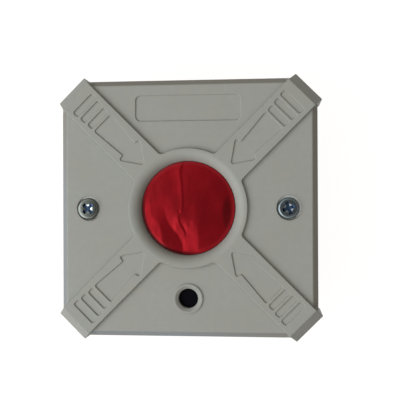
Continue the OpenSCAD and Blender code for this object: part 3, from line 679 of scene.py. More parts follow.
@dataclass(frozen=True)
class BandedBody(Finish):
    """Lacquered resistor body with colour bands across it and tinned leads."""

    centre_mm: float = 6.5
    length_mm: float = 6.0
    lead: Colour = (0.55, 0.55, 0.56)
    end_share: float = 0.004
    band_share: float = 0.09
    lacquer_mm: float = 0.9
    lacquer_depth_mm: float = 0.02
    bands: tuple[tuple[float, Colour], ...] = ()

    def painted(self, shader: Shader) -> bpy.types.Material:
        """Paints the bands along the body.

        Args:
            shader: An empty tree.

        Returns:
            Its material.
        """
        place = shader.place()
        share = (shader.along(place, "X") - self.centre_mm) / self.length_mm + 0.5
        stops: list[tuple[float, Colour]] = [(0.0, self.lead), (self.end_share, self.colour)]
        for at, band in self.bands:
            stops += [(at, band), (at + self.band_share, self.colour)]
        stops.append((1 - self.end_share, self.lead))
        ramp = shader.node("ShaderNodeValToRGB", {"stops": stops}, {0: share})
        ramp.socket.node.color_ramp.interpolation = "CONSTANT"
        lacquer = shader.noise(place, self.lacquer_mm, 3.0)
        return shader.surface(
            {
                "Base Color": ramp,
                "Roughness": 0.3 + lacquer * 0.2,
                "Normal": shader.bump(lacquer, self.lacquer_depth_mm),
            }
        )


@dataclass(frozen=True)
class CanSleeve(Finish):
    """Printed sleeve round a can, with a pale stripe on one side and a bare metal top."""

    axis_mm: Point2 = (8.0, -14.0)
    top_mm: float = 15.3
    stripe: Colour = (0.5, 0.5, 0.5)
    stripe_turn: Point2 = (0.68, 0.82)
    metal: Colour = (0.62, 0.62, 0.63)
    cloud_mm: float = 2.0
    cloud_tone: float = 1.3
    cloud_depth_mm: float = 0.02

    def painted(self, shader: Shader) -> bpy.types.Material:
        """Paints the sleeve, its stripe and the bare top.

        Args:
            shader: An empty tree.

        Returns:
            Its material.
        """
        place = shader.place()
        centred = shader.moved(place, (*self.axis_mm, 0.0))
        turn = shader.node("ShaderNodeTexGradient", {"gradient_type": "RADIAL"}, {0: centred}, "Fac")
        start, stop = self.stripe_turn
        stripe = turn.between(start, start + 0.01) * (1 - turn.between(stop, stop + 0.01))
        bare = shader.along(place, "Z").between(self.top_mm, self.top_mm + 0.05)
        cloud = shader.noise(place, self.cloud_mm, 3.0)
        film = shader.mixed(cloud, self.colour, toned(self.colour, self.cloud_tone))
        sleeve = shader.mixed(stripe, film, self.stripe)
        return shader.surface(
            {
                "Base Color": shader.mixed(bare, sleeve, self.metal),
                "Metallic": bare,
                "Roughness": 0.32 + cloud * 0.15,
                "Normal": shader.bump(cloud, self.cloud_depth_mm),
            }
        )


CASE_GREY = CasePlastic("case_grey", paint(152, 153, 147), aged=paint(152, 151, 142))
CAP_RED = MouldedPlastic("cap_red", paint(128, 18, 26), 0.35)
FILM_RED = FoilFilm("film_red", (0.30, 0.0021, 0.008))
RESET_BLACK = MouldedPlastic("reset_black", paint(5, 5, 12), 0.5, cloud=0.15, specular=0.05)
SWITCH_BLACK = MouldedPlastic("switch_black", paint(34, 34, 37), 0.5, cloud=0.12)
PLATE_GREY = MouldedPlastic("plate_grey", paint(92, 94, 96), 0.48)
ACETAL_WHITE = MouldedPlastic("acetal_white", paint(226, 222, 208), 0.32, aged=paint(219, 212, 192))
RELAY_BLUE = MouldedPlastic("relay_blue", paint(44, 104, 178), 0.36)
TERMINAL_GREEN = MouldedPlastic("terminal_green", paint(40, 118, 72), 0.42)
PLUNGER_RED = MouldedPlastic("plunger_red", paint(150, 38, 36), 0.36)
RUBBER_BLACK = MouldedPlastic(
    "rubber_black", paint(36, 36, 38), 0.72, 0.18, 6.0, 0.35, 0.03, specular=0.25
)
ZINC = PlatedMetal("zinc_plate", (0.60, 0.62, 0.63), 0.3, (0.50, 0.53, 0.52))
COVER_ZINC = PooledZinc("cover_zinc", (0.26, 0.28, 0.26), 0.2, (0.19, 0.21, 0.19))
SPRING_STEEL = PlatedMetal("spring_steel", (0.50, 0.51, 0.53), 0.28)
LEVER_STEEL = PlatedMetal("lever_steel", (0.62, 0.62, 0.62), 0.3)
TIN = PlatedMetal("tinned_pin", (0.66, 0.66, 0.65), 0.36)
BRASS = PlatedMetal("clamp_brass", (0.66, 0.48, 0.20), 0.35, (0.58, 0.40, 0.15))
BOARD_GREEN = BoardMask("board_green", paint(22, 92, 50))
RESISTOR_TAN = BandedBody(
    "resistor_tan",
    paint(196, 164, 116),
    bands=(
        (0.16, paint(96, 52, 24)),
        (0.34, paint(20, 20, 20)),
        (0.52, paint(196, 96, 30)),
        (0.78, paint(176, 140, 52)),
    ),
)
CAN_BLUE = CanSleeve("can_sleeve", paint(28, 36, 78), stripe=paint(178, 184, 196))


def finished(
    mesh: bpy.types.Mesh, name: str, body: Body, slot: str, finish: Finish, *nodes: str
) -> bpy.types.Object:
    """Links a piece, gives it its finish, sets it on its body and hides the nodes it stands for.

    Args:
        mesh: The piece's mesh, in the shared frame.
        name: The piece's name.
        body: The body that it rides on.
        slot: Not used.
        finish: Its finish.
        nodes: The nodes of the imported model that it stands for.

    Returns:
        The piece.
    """
    mesh.materials.clear()
    mesh.materials.append(finish.material())
    piece = bpy.data.objects.new(name, mesh)
    bpy.context.scene.collection.objects.link(piece)
    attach(piece, body.value)
    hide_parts(*nodes)
    LOG.info("%s: %d faces, on %s", name, len(mesh.polygons), body.value)
    return piece


def plain_mesh(source: bpy.types.Object, name: str) -> bpy.types.Mesh:
    """Turns an object with modifiers into a plain mesh, and removes the object.

    Args:
        source: The object.
        name: Name of the new mesh.

    Returns:
        The mesh.
    """
    graph = bpy.context.evaluated_depsgraph_get()
    mesh = bpy.data.meshes.new_from_object(source.evaluated_get(graph), depsgraph=graph)
    mesh.name = name
    source.modifiers.clear()
    bpy.data.objects.remove(source)
    return mesh


@dataclass(frozen=True)
class EasedSpot:
    """A round spot, seen from the front, where edges are rounded less than elsewhere."""

    centre_mm: Point2
    reach_mm: float
    share: float

    def covers(self, place: Vector) -> bool:
        """Whether a place in metres lies in the spot."""
        x, y = self.centre_mm
        return math.hypot(place.x / MM - x, place.y / MM - y) < self.reach_mm


@dataclass(frozen=True)
class EdgeRound:
    """How the sharp outer edges of a moulded or cut piece are rounded."""

    radius_mm: float
    segments: int = 3
    eased: tuple[EasedSpot, ...] = ()
    from_degrees: float = 28.0
    merge_mm: float = 0.001
    flat_degrees: float = 0.2

    def share(self, edge: bmesh.types.BMEdge) -> float:
        """Share of the radius that an outer edge gets."""
        middle = (edge.verts[0].co + edge.verts[1].co) / 2
        return min([spot.share for spot in self.eased if spot.covers(middle)], default=1.0)

    def applied(self, node: bpy.types.Object, name: str) -> bpy.types.Mesh:
        """Makes a copy of a node's mesh with its outer edges rounded.

        Args:
            node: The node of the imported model.
            name: Name of the new mesh.

        Returns:
            The rounded mesh.
        """
        work = bmesh.new()
        work.from_mesh(node.data)
        bmesh.ops.remove_doubles(work, verts=work.verts[:], dist=self.merge_mm * MM)
        flat = math.radians(self.flat_degrees)
        bmesh.ops.dissolve_limit(work, angle_limit=flat, verts=work.verts[:], edges=work.edges[:])
        weight = work.edges.layers.float.new("bevel_weight_edge")
        limit = math.radians(self.from_degrees)
        for edge in work.edges:
            turn = edge.calc_face_angle_signed(0.0)
            edge[weight] = self.share(edge) if turn > limit else 0.0
            edge.smooth = turn > -limit
        for face in work.faces:
            face.smooth = True
        mesh = bpy.data.meshes.new(name)
        work.to_mesh(mesh)
        work.free()
        carrier = bpy.data.objects.new(name, mesh)
        bpy.context.scene.collection.objects.link(carrier)
        bevel = carrier.modifiers.new("round", "BEVEL")
        bevel.limit_method = "WEIGHT"
        bevel.width = self.radius_mm * MM
        bevel.segments = self.segments
        bevel.use_clamp_overlap = False
        bevel.loop_slide = False
        normals = carrier.modifiers.new("shade", "WEIGHTED_NORMAL")
        normals.keep_sharp = True
        return plain_mesh(carrier, name)


@dataclass(frozen=True)
class RoundedNode:
    """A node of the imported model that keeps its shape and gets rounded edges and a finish."""

    node: str
    piece: str
    slot: str
    finish: Finish
    body: Body = Body.CASE
    round: EdgeRound = EdgeRound(0.2)

    def build(self, nodes: Nodes) -> bpy.types.Object:
        """Builds and dresses the piece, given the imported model's nodes by name."""
        mesh = self.round.applied(nodes[self.node], self.piece)
        return finished(mesh, self.piece, self.body, self.slot, self.finish, self.node)


@dataclass(frozen=True)
class PlainNode:
    """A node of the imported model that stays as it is, with a better finish."""

    node: str
    finish: Finish

    def dress(self, nodes: Nodes) -> None:
        """Gives the node its finish.

        Args:
            nodes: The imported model's nodes by name.
        """
        for held in nodes[self.node].material_slots:
            held.material = self.finish.material()
        LOG.info("%s: finish %s", self.node, self.finish.name)


class GeometryTree(Graph):
    """Geometry node tree with named inputs, for pieces that repeat or follow a path."""

    def __init__(self, name: str, numbers: Sequence[str]) -> None:
        """Makes a tree with a geometry input, number inputs and a material input.

        Args:
            name: The tree's name.
            numbers: Names of the number inputs.
        """
        group = bpy.data.node_groups.new(name, "GeometryNodeTree")
        super().__init__(group)
        self.group = group
        self.keys: dict[str, str] = {}
        group.interface.new_socket("Places", in_out="INPUT", socket_type="NodeSocketGeometry")
        for number in numbers:
            made = group.interface.new_socket(number, in_out="INPUT", socket_type="NodeSocketFloat")
            self.keys[number] = made.identifier
        finish = group.interface.new_socket("Finish", in_out="INPUT", socket_type="NodeSocketMaterial")
        self.keys["Finish"] = finish.identifier
        group.interface.new_socket("Geometry", in_out="OUTPUT", socket_type="NodeSocketGeometry")
        self.source = self.node("NodeGroupInput")

    def given(self, name: str) -> Value:
        """One of the tree's named inputs."""
        return self.source.other(name)

    def shaded(self, geometry: Value, sharp_degrees: float) -> Value:
        """Shades a mesh smooth, apart from its sharp edges.

        Args:
            geometry: The mesh.
            sharp_degrees: Angle from which an edge is sharp.

        Returns:
            The shaded mesh.
        """
        angle = self.node("GeometryNodeInputMeshEdgeAngle")
        soft = self.node(
            "FunctionNodeCompare",
            {"data_type": "FLOAT", "operation": "LESS_THAN"},
            {0: angle, 1: math.radians(sharp_degrees)},
        )
        faces = self.node("GeometryNodeSetShadeSmooth", {"domain": "FACE"}, {0: geometry})
        inputs = {0: faces, "Shade Smooth": soft}
        return self.node("GeometryNodeSetShadeSmooth", {"domain": "EDGE"}, inputs)

    def end(self, geometry: Value) -> None:
        """Ends the tree: instances are made real and take the finish.

        Args:
            geometry: What the tree has made.
        """
        real = self.node("GeometryNodeRealizeInstances", {}, {0: geometry})
        dressed = self.node("GeometryNodeSetMaterial", {}, {0: real, "Material": self.given("Finish")})
        self.node("NodeGroupOutput", {}, {0: dressed})

    def run(self, places: bpy.types.Mesh, values: dict[str, Any], name: str) -> bpy.types.Mesh:
        """Runs the tree on a mesh of places.

        Args:
            places: Mesh whose points are the places.
            values: The named inputs; lengths in metres.
            name: Name of the new mesh.

        Returns:
            The result as a plain mesh.
        """
        carrier = bpy.data.objects.new(name, places)
        modifier = carrier.modifiers.new(self.group.name, "NODES")
        modifier.node_group = self.group
        for key, value in values.items():
            modifier[self.keys[key]] = value
        bpy.context.scene.collection.objects.link(carrier)
        return plain_mesh(carrier, name)


class PanScrewTree(GeometryTree):
    """Pan-head screws with a tapered cross recess, one on each point of a mesh."""

    NUMBERS = (
        "Head Diameter",
        "Head Height",
        "Shank Diameter",
        "Shank Length",
        "Recess Length",
        "Recess Width",
        "Recess Core",
        "Recess Depth",
        "Core Depth",
        "Facing",
    )
    AROUND = 64
    ALONG = 16
    SHANK_SIDES = 32
    SHARP_DEG = 32.0
    SQUARENESS = 7.0
    WING_TAPER = 0.22
    CORE_TAPER = 0.7
    OVERLAP = 0.0003
    MERGE = 2e-5

    def __init__(self) -> None:
        """Builds the tree: head, shank and recess, then the places."""
        super().__init__("pan_screw", self.NUMBERS)
        solid = self.node(
            "GeometryNodeMeshBoolean",
            {"operation": "UNION", "solver": "EXACT"},
            {"Mesh 2": [self.head(), self.shank()]},
        )
        cut = self.node(
            "GeometryNodeMeshBoolean",
            {"operation": "DIFFERENCE", "solver": "EXACT"},
            {"Mesh 1": solid, "Mesh 2": self.recess()},
        )
        turn = self.node("GeometryNodeInputNamedAttribute", {"data_type": "FLOAT"}, {"Name": "turn"})
        angles = self.node("ShaderNodeCombineXYZ", {}, {"X": self.given("Facing"), "Z": turn})
        rotation = self.node("FunctionNodeEulerToRotation", {}, {0: angles})
        placed = self.node(
            "GeometryNodeInstanceOnPoints",
            {},
            {"Points": self.source, "Instance": self.shaded(cut, self.SHARP_DEG), "Rotation": rotation},
        )
        self.end(placed)

    def head(self) -> Value:
        """Makes the head: a squared dome turned from a grid, closed by a disc.

        Returns:
            The head, on the seat's plane.
        """
        grid = self.node(
            "GeometryNodeMeshGrid",
            {},
            {"Size X": 1.0, "Size Y": 1.0, "Vertices X": self.AROUND + 1, "Vertices Y": self.ALONG + 1},
        )
        across = self.node("ShaderNodeSeparateXYZ", {}, {0: grid.other("UV Map")})
        around = across * -math.tau
        along = across.other("Y") * (math.pi / 2)
        power = 2 / self.SQUARENESS
        radius = along.sin() ** power * self.given("Head Diameter") * 0.5
        height = along.cos() ** power * self.given("Head Height")
        ring = {0: radius * around.cos(), 1: radius * around.sin(), 2: height}
        point = self.node("ShaderNodeCombineXYZ", {}, ring)
        dome = self.node("GeometryNodeSetPosition", {}, {0: grid, "Position": point})
        disc = self.node(
            "GeometryNodeMeshCircle",
            {"fill_type": "NGON"},
            {"Vertices": self.AROUND, "Radius": self.given("Head Diameter") * 0.5},
        )
        under = self.node("GeometryNodeFlipFaces", {}, {0: disc})
        both = self.node("GeometryNodeJoinGeometry", {}, {0: [dome, under]})
        return self.node("GeometryNodeMergeByDistance", {}, {0: both, "Distance": self.MERGE})

    def shank(self) -> Value:
        """Makes the plain shank, sunk a little into the head.

        Returns:
            The shank, below the seat's plane.
        """
        length = self.given("Shank Length") + self.OVERLAP
        rod = self.node(
            "GeometryNodeMeshCylinder",
            {"fill_type": "NGON"},
            {
                "Vertices": self.SHANK_SIDES,
                "Radius": self.given("Shank Diameter") * 0.5,
                "Depth": length,
            },
        )
        drop = self.OVERLAP - length * 0.5
        shift = self.node("ShaderNodeCombineXYZ", {}, {2: drop})
        return self.node("GeometryNodeTransform", {}, {0: rod, "Translation": shift})

    def recess(self) -> list[Value]:
        """Makes the cross recess: two steep wings and the sloped core between them.

        Returns:
            The three cutters.
        """
        length, width, core = (self.given("Recess " + part) for part in ("Length", "Width", "Core"))
        deep, shallow = self.given("Recess Depth"), self.given("Core Depth")
        return [
            self.cutter(length, width, deep, self.WING_TAPER, 0.0),
            self.cutter(length, width, deep, self.WING_TAPER, math.pi / 2),
            self.cutter(core, core, shallow, self.CORE_TAPER, math.pi / 4),
        ]

    def cutter(self, length: Value, width: Value, depth: Value, taper: float, turn: float) -> Value:
        """One block that narrows with depth.

        Args:
            length: Its length at the head's top.
            width: Its width there.
            depth: How far it goes into the head.
            taper: Share by which it narrows down to its floor.
            turn: Turn about the screw's axis in radians.

        Returns:
            The block, set in the head's top.
        """
        size = self.node("ShaderNodeCombineXYZ", {}, {0: length, 1: width, 2: depth * 2.0})
        block = self.node("GeometryNodeMeshCube", {}, {"Size": size})
        place = self.node("GeometryNodeInputPosition")
        level = self.node("ShaderNodeSeparateXYZ", {}, {0: place}, "Z")
        share = 1.0 + level / depth * taper
        scale = self.node("ShaderNodeCombineXYZ", {}, {0: share, 1: share, 2: 1.0})
        tapered = self.node("ShaderNodeVectorMath", {"operation": "MULTIPLY"}, {0: place, 1: scale})
        wedge = self.node("GeometryNodeSetPosition", {}, {0: block, "Position": tapered})
        lift = self.node("ShaderNodeCombineXYZ", {}, {2: self.given("Head Height")})
        return self.node(
            "GeometryNodeTransform", {}, {0: wedge, "Translation": lift, "Rotation": (0.0, 0.0, turn)}
        )


@dataclass(frozen=True)
class ScrewSet:
    """A set of like pan-head screws that stands for one node."""

    node: str
    piece: str
    places_mm: tuple[Point3, ...]
    turns_deg: tuple[float, ...]
    head_mm: float
    head_height_mm: float
    shank_mm: float
    length_mm: float
    facing: Facing = Facing.FRONT
    finish: PlatedMetal = ZINC
    recess_length: float = 0.58
    recess_width: float = 0.16
    recess_core: float = 0.4
    recess_depth: float = 0.45
    core_depth: float = 0.2

    def build(self, tree: PanScrewTree) -> bpy.types.Object:
        """Builds and dresses the set.

        Args:
            tree: The screws' node tree.

        Returns:
            The piece.
        """
        points = bpy.data.meshes.new(self.piece + "_places")
        points.from_pydata([[at * MM for at in place] for place in self.places_mm], [], [])
        turns = points.attributes.new("turn", "FLOAT", "POINT")
        for held, turn in zip(turns.data, self.turns_deg):
            held.value = math.radians(turn)
        values = {
            "Head Diameter": self.head_mm * MM,
            "Head Height": self.head_height_mm * MM,
            "Shank Diameter": self.shank_mm * MM,
            "Shank Length": self.length_mm * MM,
            "Recess Length": self.head_mm * self.recess_length * MM,
            "Recess Width": self.head_mm * self.recess_width * MM,
            "Recess Core": self.head_mm * self.recess_core * MM,
            "Core Depth": self.head_height_mm * self.core_depth * MM,
            "Recess Depth": self.head_height_mm * self.recess_depth * MM,
            "Facing": self.facing.value,
            "Finish": self.finish.material(),
        }
        mesh = tree.run(points, values, self.piece)
        return finished(mesh, self.piece, Body.CASE, "zinc_screw", self.finish, self.node)


class CoilTree(GeometryTree):
    """Round wire wound at a steady pitch between two seats."""

    NUMBERS = ("Mean Diameter", "Wire Diameter", "Turns", "Rise", "X", "Y", "Z")
    STEPS = 40
    SIDES = 14
    SHARP_DEG = 40.0

    def __init__(self) -> None:
        """Builds the tree: the wire's path, then its round section."""
        super().__init__("coil", self.NUMBERS)
        radius = self.given("Mean Diameter") * 0.5
        path = self.node(
            "GeometryNodeCurveSpiral",
            {},
            {
                "Resolution": self.STEPS,
                "Rotations": self.given("Turns"),
                "Start Radius": radius,
                "End Radius": radius,
                "Height": self.given("Rise"),
                "Reverse": True,
            },
        )
        axes = {number: self.given(axis) for number, axis in enumerate("XYZ")}
        seat = self.node("ShaderNodeCombineXYZ", {}, axes)
        seated = self.node("GeometryNodeSetPosition", {}, {0: path, "Offset": seat})
        wire = self.node(
            "GeometryNodeCurvePrimitiveCircle",
            {"mode": "RADIUS"},
            {"Resolution": self.SIDES, "Radius": self.given("Wire Diameter") * 0.5},
        )
        tube = self.node(
            "GeometryNodeCurveToMesh", {}, {"Curve": seated, "Profile Curve": wire, "Fill Caps": True}
        )
        self.end(self.shaded(tube, self.SHARP_DEG))


@dataclass(frozen=True)
class CoilSpring:
    """A coil spring wound between two seats."""

    node: str
    piece: str
    joint: str
    mean_mm: float
    wire_mm: float
    turns: float
    low_mm: float
    high_mm: float
    travel_mm: float
    y_mm: float = 0.0
    seat_gap_mm: float = 0.03

    def build(self, tree: CoilTree) -> bpy.types.Object:
        """Builds the spring and gives it a mesh of its own.

        Args:
            tree: The springs' node tree.

        Returns:
            The piece.
        """
        clear = self.wire_mm / 2 + self.seat_gap_mm
        values = {
            "Mean Diameter": self.mean_mm * MM,
            "Wire Diameter": self.wire_mm * MM,
            "Turns": self.turns,
            "Rise": (self.high_mm - self.low_mm - 2 * clear) * MM,
            "X": 0.0,
            "Y": self.y_mm * MM,
            "Z": (self.low_mm + clear) * MM,
            "Finish": SPRING_STEEL.material(),
        }
        mesh = tree.run(bpy.data.meshes.new(self.piece + "_path"), values, self.piece)
        piece = finished(mesh, self.piece, Body.CASE, "spring_steel", SPRING_STEEL, self.node)
        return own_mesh(piece)


@dataclass(frozen=True)
class Facet:
    """A patch of the crinkled film that leans sideways between two bent edges.

    The edges run from top to bottom, as millimetres from the button's centre. The lean is the
    patch's rise for each millimetre to the right, and each edge blends over its own width.
    """

    left: Line
    right: Line
    lean: float
    soft_left: float = 0.7
    soft_right: float = 0.7
    fade: float = 1.6

    def slope(self, x: np.ndarray, y: np.ndarray) -> np.ndarray:
        """Slope that the patch adds over a grid.

        Args:
            x: Millimetres right of the button's centre.
            y: Millimetres above it.

        Returns:
            Rise for each millimetre to the right.
        """
        first = self.blend((x - self.edge(self.left, y)) / self.soft_left + 0.5)
        last = self.blend((self.edge(self.right, y) - x) / self.soft_right + 0.5)
        top, foot = self.left[0][1], self.left[-1][1]
        ends = self.blend((y - foot) / self.fade + 0.5) * self.blend((top - y) / self.fade + 0.5)
        return self.lean * first * last * ends

    @staticmethod
    def edge(line: Line, y: np.ndarray) -> np.ndarray:
        """Place of an edge at each height."""
        xs, ys = zip(*reversed(line))
        return np.interp(y, ys, xs)

    @staticmethod
    def blend(share: np.ndarray) -> np.ndarray:
        """Rises smoothly from 0 to 1."""
        held = np.clip(share, 0.0, 1.0)
        return held * held * (3 - 2 * held)


class Crinkle:
    """Heights of the film's folds: the surface whose slopes come closest to its facets' leans."""

    STEP = 0.1

    def __init__(self, facets: Sequence[Facet], radius: float) -> None:
        """Finds the surface over a square grid, level at its edge, as a sum of sine waves.

        Args:
            facets: The film's facets.
            radius: The film's radius in millimetres.
        """
        self.radius = radius
        count = round(2 * radius / self.STEP) + 1
        line = np.linspace(-radius, radius, count)
        x, y = np.meshgrid(line, line)
        lean = sum(facet.slope(x, y) for facet in facets)
        bend = np.gradient(np.where(np.hypot(x, y) < radius, lean, 0.0), self.STEP, axis=1)
        waves = np.arange(1, count + 1)
        sines = np.sin(np.pi * np.outer(waves, waves) / (count + 1))
        stiff = (2 - 2 * np.cos(np.pi * waves / (count + 1))) / self.STEP**2
        shares = sines @ bend @ sines / -(stiff[:, None] + stiff[None, :])
        self.heights = sines @ shares @ sines * (2 / (count + 1)) ** 2

    def height(self, x: float, y: float) -> float:
        """Reads the folds' height between the points of the grid.

        Args:
            x: Place across, in millimetres.
            y: Place up, in millimetres.

        Returns:
            The height in millimetres.
        """
        last = len(self.heights) - 2
        across, up = ((at + self.radius) / self.STEP for at in (x, y))
        column, row = (min(last, max(0, int(at))) for at in (across, up))
        share, rise = across - column, up - row
        low = self.heights[row][column] * (1 - share) + self.heights[row][column + 1] * share
        row += 1
        high = self.heights[row][column] * (1 - share) + self.heights[row][column + 1] * share
        return float(low * (1 - rise) + high * rise)


@dataclass
class PushButton:
    """The red push button: its crinkled film, the cap under it and the white stem."""

    crinkle: Crinkle
    radius: float = 15.25
    cap_z: float = 30.2
    film_t: float = 0.4
    dome: float = 0.4
    edge: float = 0.18
    skirt: float = 2.5
    rings: int = 96
    around: int = 360
    edge_steps: int = 8
    ripple: float = 0.02
    slow_ripple: Point3 = (0.17, 0.13, 3.1)
    quick_ripple: Point3 = (0.5, 0.33, 7.7)
    slow_share: float = 2.2
    held_mm: float = 1.2
    held_share: float = 0.75
    sharp_deg: float = 50.0

    @staticmethod
    def rippled(x: float, y: float, ripple: Point3) -> float:
        """One layer of ripples at a place, given its waves across and up and its seed."""
        return noise.noise(Vector((x * ripple[0], y * ripple[1], ripple[2])))

    def folded(self, x: float, y: float) -> float:
        """Height of the folds and ripples at a place, in millimetres."""
        slow, quick = (self.rippled(x, y, kind) for kind in (self.slow_ripple, self.quick_ripple))
        return self.crinkle.height(x, y) + self.ripple * (self.slow_share * slow + quick)

    def film_rows(self) -> list[list[Point3]]:
        """Lays rings of points from the film's crown over its rim and skirt to its underside.

        Returns:
            The rings, in millimetres.
        """
        flat = self.radius - self.edge
        rim_z = self.cap_z + self.film_t - self.edge
        turns = [math.tau * step / self.around for step in range(self.around)]
        rows = []
        for ring in range(1, self.rings + 1):
            r = flat * ring / self.rings
            crown = self.cap_z + self.film_t + self.dome * (1 - (r / flat) ** 2)
            hold = 1 - self.held_share * smooth_step(flat - self.held_mm, flat, r)
            rows.append([(r * math.cos(a), r * math.sin(a), crown) for a in turns])
            rows[-1] = [(x, y, z + hold * self.folded(x, y)) for x, y, z in rows[-1]]
        last = rows[-1]
        for step in range(1, self.edge_steps + 1):
            bend = math.pi / 2 * (1 - step / self.edge_steps)
            r, z = flat + self.edge * math.cos(bend), rim_z + self.edge * math.sin(bend)
            left = math.sin(bend)
            rows.append(
                [
                    (r * math.cos(a), r * math.sin(a), z + left * (end[2] - self.cap_z - self.film_t))
                    for a, end in zip(turns, last)
                ]
            )
        inner = self.radius - self.film_t
        foot = self.cap_z - self.skirt
        for r, z in ((self.radius, foot), (inner, foot), (inner, self.cap_z)):
            rows.append([(r * math.cos(a), r * math.sin(a), z) for a in turns])
        return rows

    def film_mesh(self) -> bpy.types.Mesh:
        """Builds the film as one closed skin over the cap.

        Returns:
            The mesh, in metres.
        """
        rows = self.film_rows()
        points = [(0.0, 0.0, self.cap_z + self.film_t + self.dome + self.folded(0.0, 0.0))]
        points += [point for row in rows for point in row]
        points.append((0.0, 0.0, self.cap_z))
        end = len(points) - 1
        faces: list[tuple[int, ...]] = []
        for step in range(self.around):
            after = (step + 1) % self.around
            faces.append((0, 1 + step, 1 + after))
            for row in range(len(rows) - 1):
                top, low = 1 + row * self.around, 1 + (row + 1) * self.around
                faces.append((top + step, low + step, low + after, top + after))
            low = 1 + (len(rows) - 1) * self.around
            faces.append((low + step, end, low + after))
        mesh = bpy.data.meshes.new("crinkled_film")
        mesh.from_pydata([[at * MM for at in point] for point in points], [], faces)
        mesh.shade_smooth()
        mesh.set_sharp_from_angle(angle=math.radians(self.sharp_deg))
        return mesh

    def build(self, nodes: Nodes) -> None:
        """Builds the film and dresses the cap and the stem.

        Args:
            nodes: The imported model's nodes by name.
        """
        finished(self.film_mesh(), "crinkled_film", Body.BUTTON, "film_red", FILM_RED, "button_film")
        cap, stem = EdgeRound(0.15, 2), EdgeRound(0.2, 2)
        for piece in (
            RoundedNode("button_cap", "red_cap", "button_red", CAP_RED, Body.BUTTON, cap),
            RoundedNode("button_stem", "white_stem", "acetal_white", ACETAL_WHITE, Body.BUTTON, stem),
        ):
            piece.build(nodes)


FILM_REACH = 15.2
FOLD = ((-1.9, 15.0), (-2.9, 11.5), (-2.5, 10.0), (-2.15, 6.8), (-1.9, 2.8), (-2.0, 0.2))
NICK = ((-3.4, -3.2), (-2.9, -5.2), (-1.9, -6.8), (-1.3, -8.0))


def beside(line: Line, shift: float) -> Line:
    """The same line moved to the right."""
    return tuple((x + shift, y) for x, y in line)


FILM_FACETS = (
    Facet(((-3.9, 15.0), (-4.3, 11.5), (-3.8, 8.0), (-3.3, 4.0), (-3.0, 0.2)), FOLD, 0.04, 1.6, 0.2),
    Facet(FOLD, beside(FOLD, 0.5), -0.38, 0.2, 0.3),
    Facet(
        ((-15.0, 3.0), (-15.0, -4.0)),
        ((-12.7, 3.0), (-12.4, -1.0), (-11.8, -4.0)),
        0.065,
        0.5,
        0.8,
    ),
    Facet(
        ((-15.0, -3.0), (-15.0, -12.0)),
        ((-11.9, -3.0), (-9.3, -6.2), (-8.5, -12.0)),
        0.055,
        0.5,
        1.0,
    ),
    Facet(
        ((-10.5, -3.2), (-9.1, -6.2), (-8.4, -11.2), (-7.5, -15.0)),
        ((-7.2, -3.2), (-5.8, -6.4), (-3.6, -8.5), (-2.1, -11.5), (-1.9, -15.0)),
        -0.11,
        1.0,
        0.5,
    ),
    Facet(
        ((-8.0, -0.2), (-7.1, -3.8), (-5.6, -6.4), (-3.6, -8.5), (-2.0, -11.3)),
        ((-3.4, -0.2), (-3.4, -3.2), (-2.9, -5.2), (-1.9, -6.8), (-1.3, -8.0), (-1.2, -11.3)),
        0.11,
        0.8,
        0.25,
    ),
    Facet(NICK, beside(NICK, 0.55), -0.42, 0.2, 0.3),
    Facet(
        ((-2.4, -4.6), (-1.3, -7.4), (-0.8, -8.5), (-1.8, -11.5), (-1.9, -15.2)),
        ((2.6, -4.6), (3.4, -8.6), (3.4, -15.2)),
        0.115,
        0.4,
        1.2,
    ),
    Facet(((3.4, -3.0), (3.6, -15.0)), ((12.0, -3.0), (9.0, -15.0)), -0.055, 1.6, 2.5, 3.0),
    Facet(
        ((12.4, 2.4), (11.2, -2.0), (9.6, -7.0)),
        ((14.4, 2.4), (13.5, -2.0), (11.9, -7.0)),
        -0.06,
        1.0,
        1.0,
        2.5,
    ),
    Facet(((-5.5, -5.4), (-5.0, -7.2)), ((-4.2, -5.4), (-3.7, -7.2)), 0.08, 0.6, 0.6, 0.8),
    Facet(((-1.9, -5.0), (-1.3, -6.6)), ((-0.5, -5.0), (-0.1, -6.6)), 0.09, 0.5, 0.6, 0.8),
    Facet(((0.5, -4.4), (0.5, -5.6)), ((1.7, -4.4), (1.7, -5.6)), 0.09, 0.5, 0.6, 0.6),
    Facet(((-3.1, -0.5), (-3.1, -1.6)), ((-2.3, -0.5), (-2.3, -1.6)), 0.25, 0.3, 0.3, 0.6),
)


RESET_COLLAR = EasedSpot((0.0, -29.3), 6.0, 0.4)


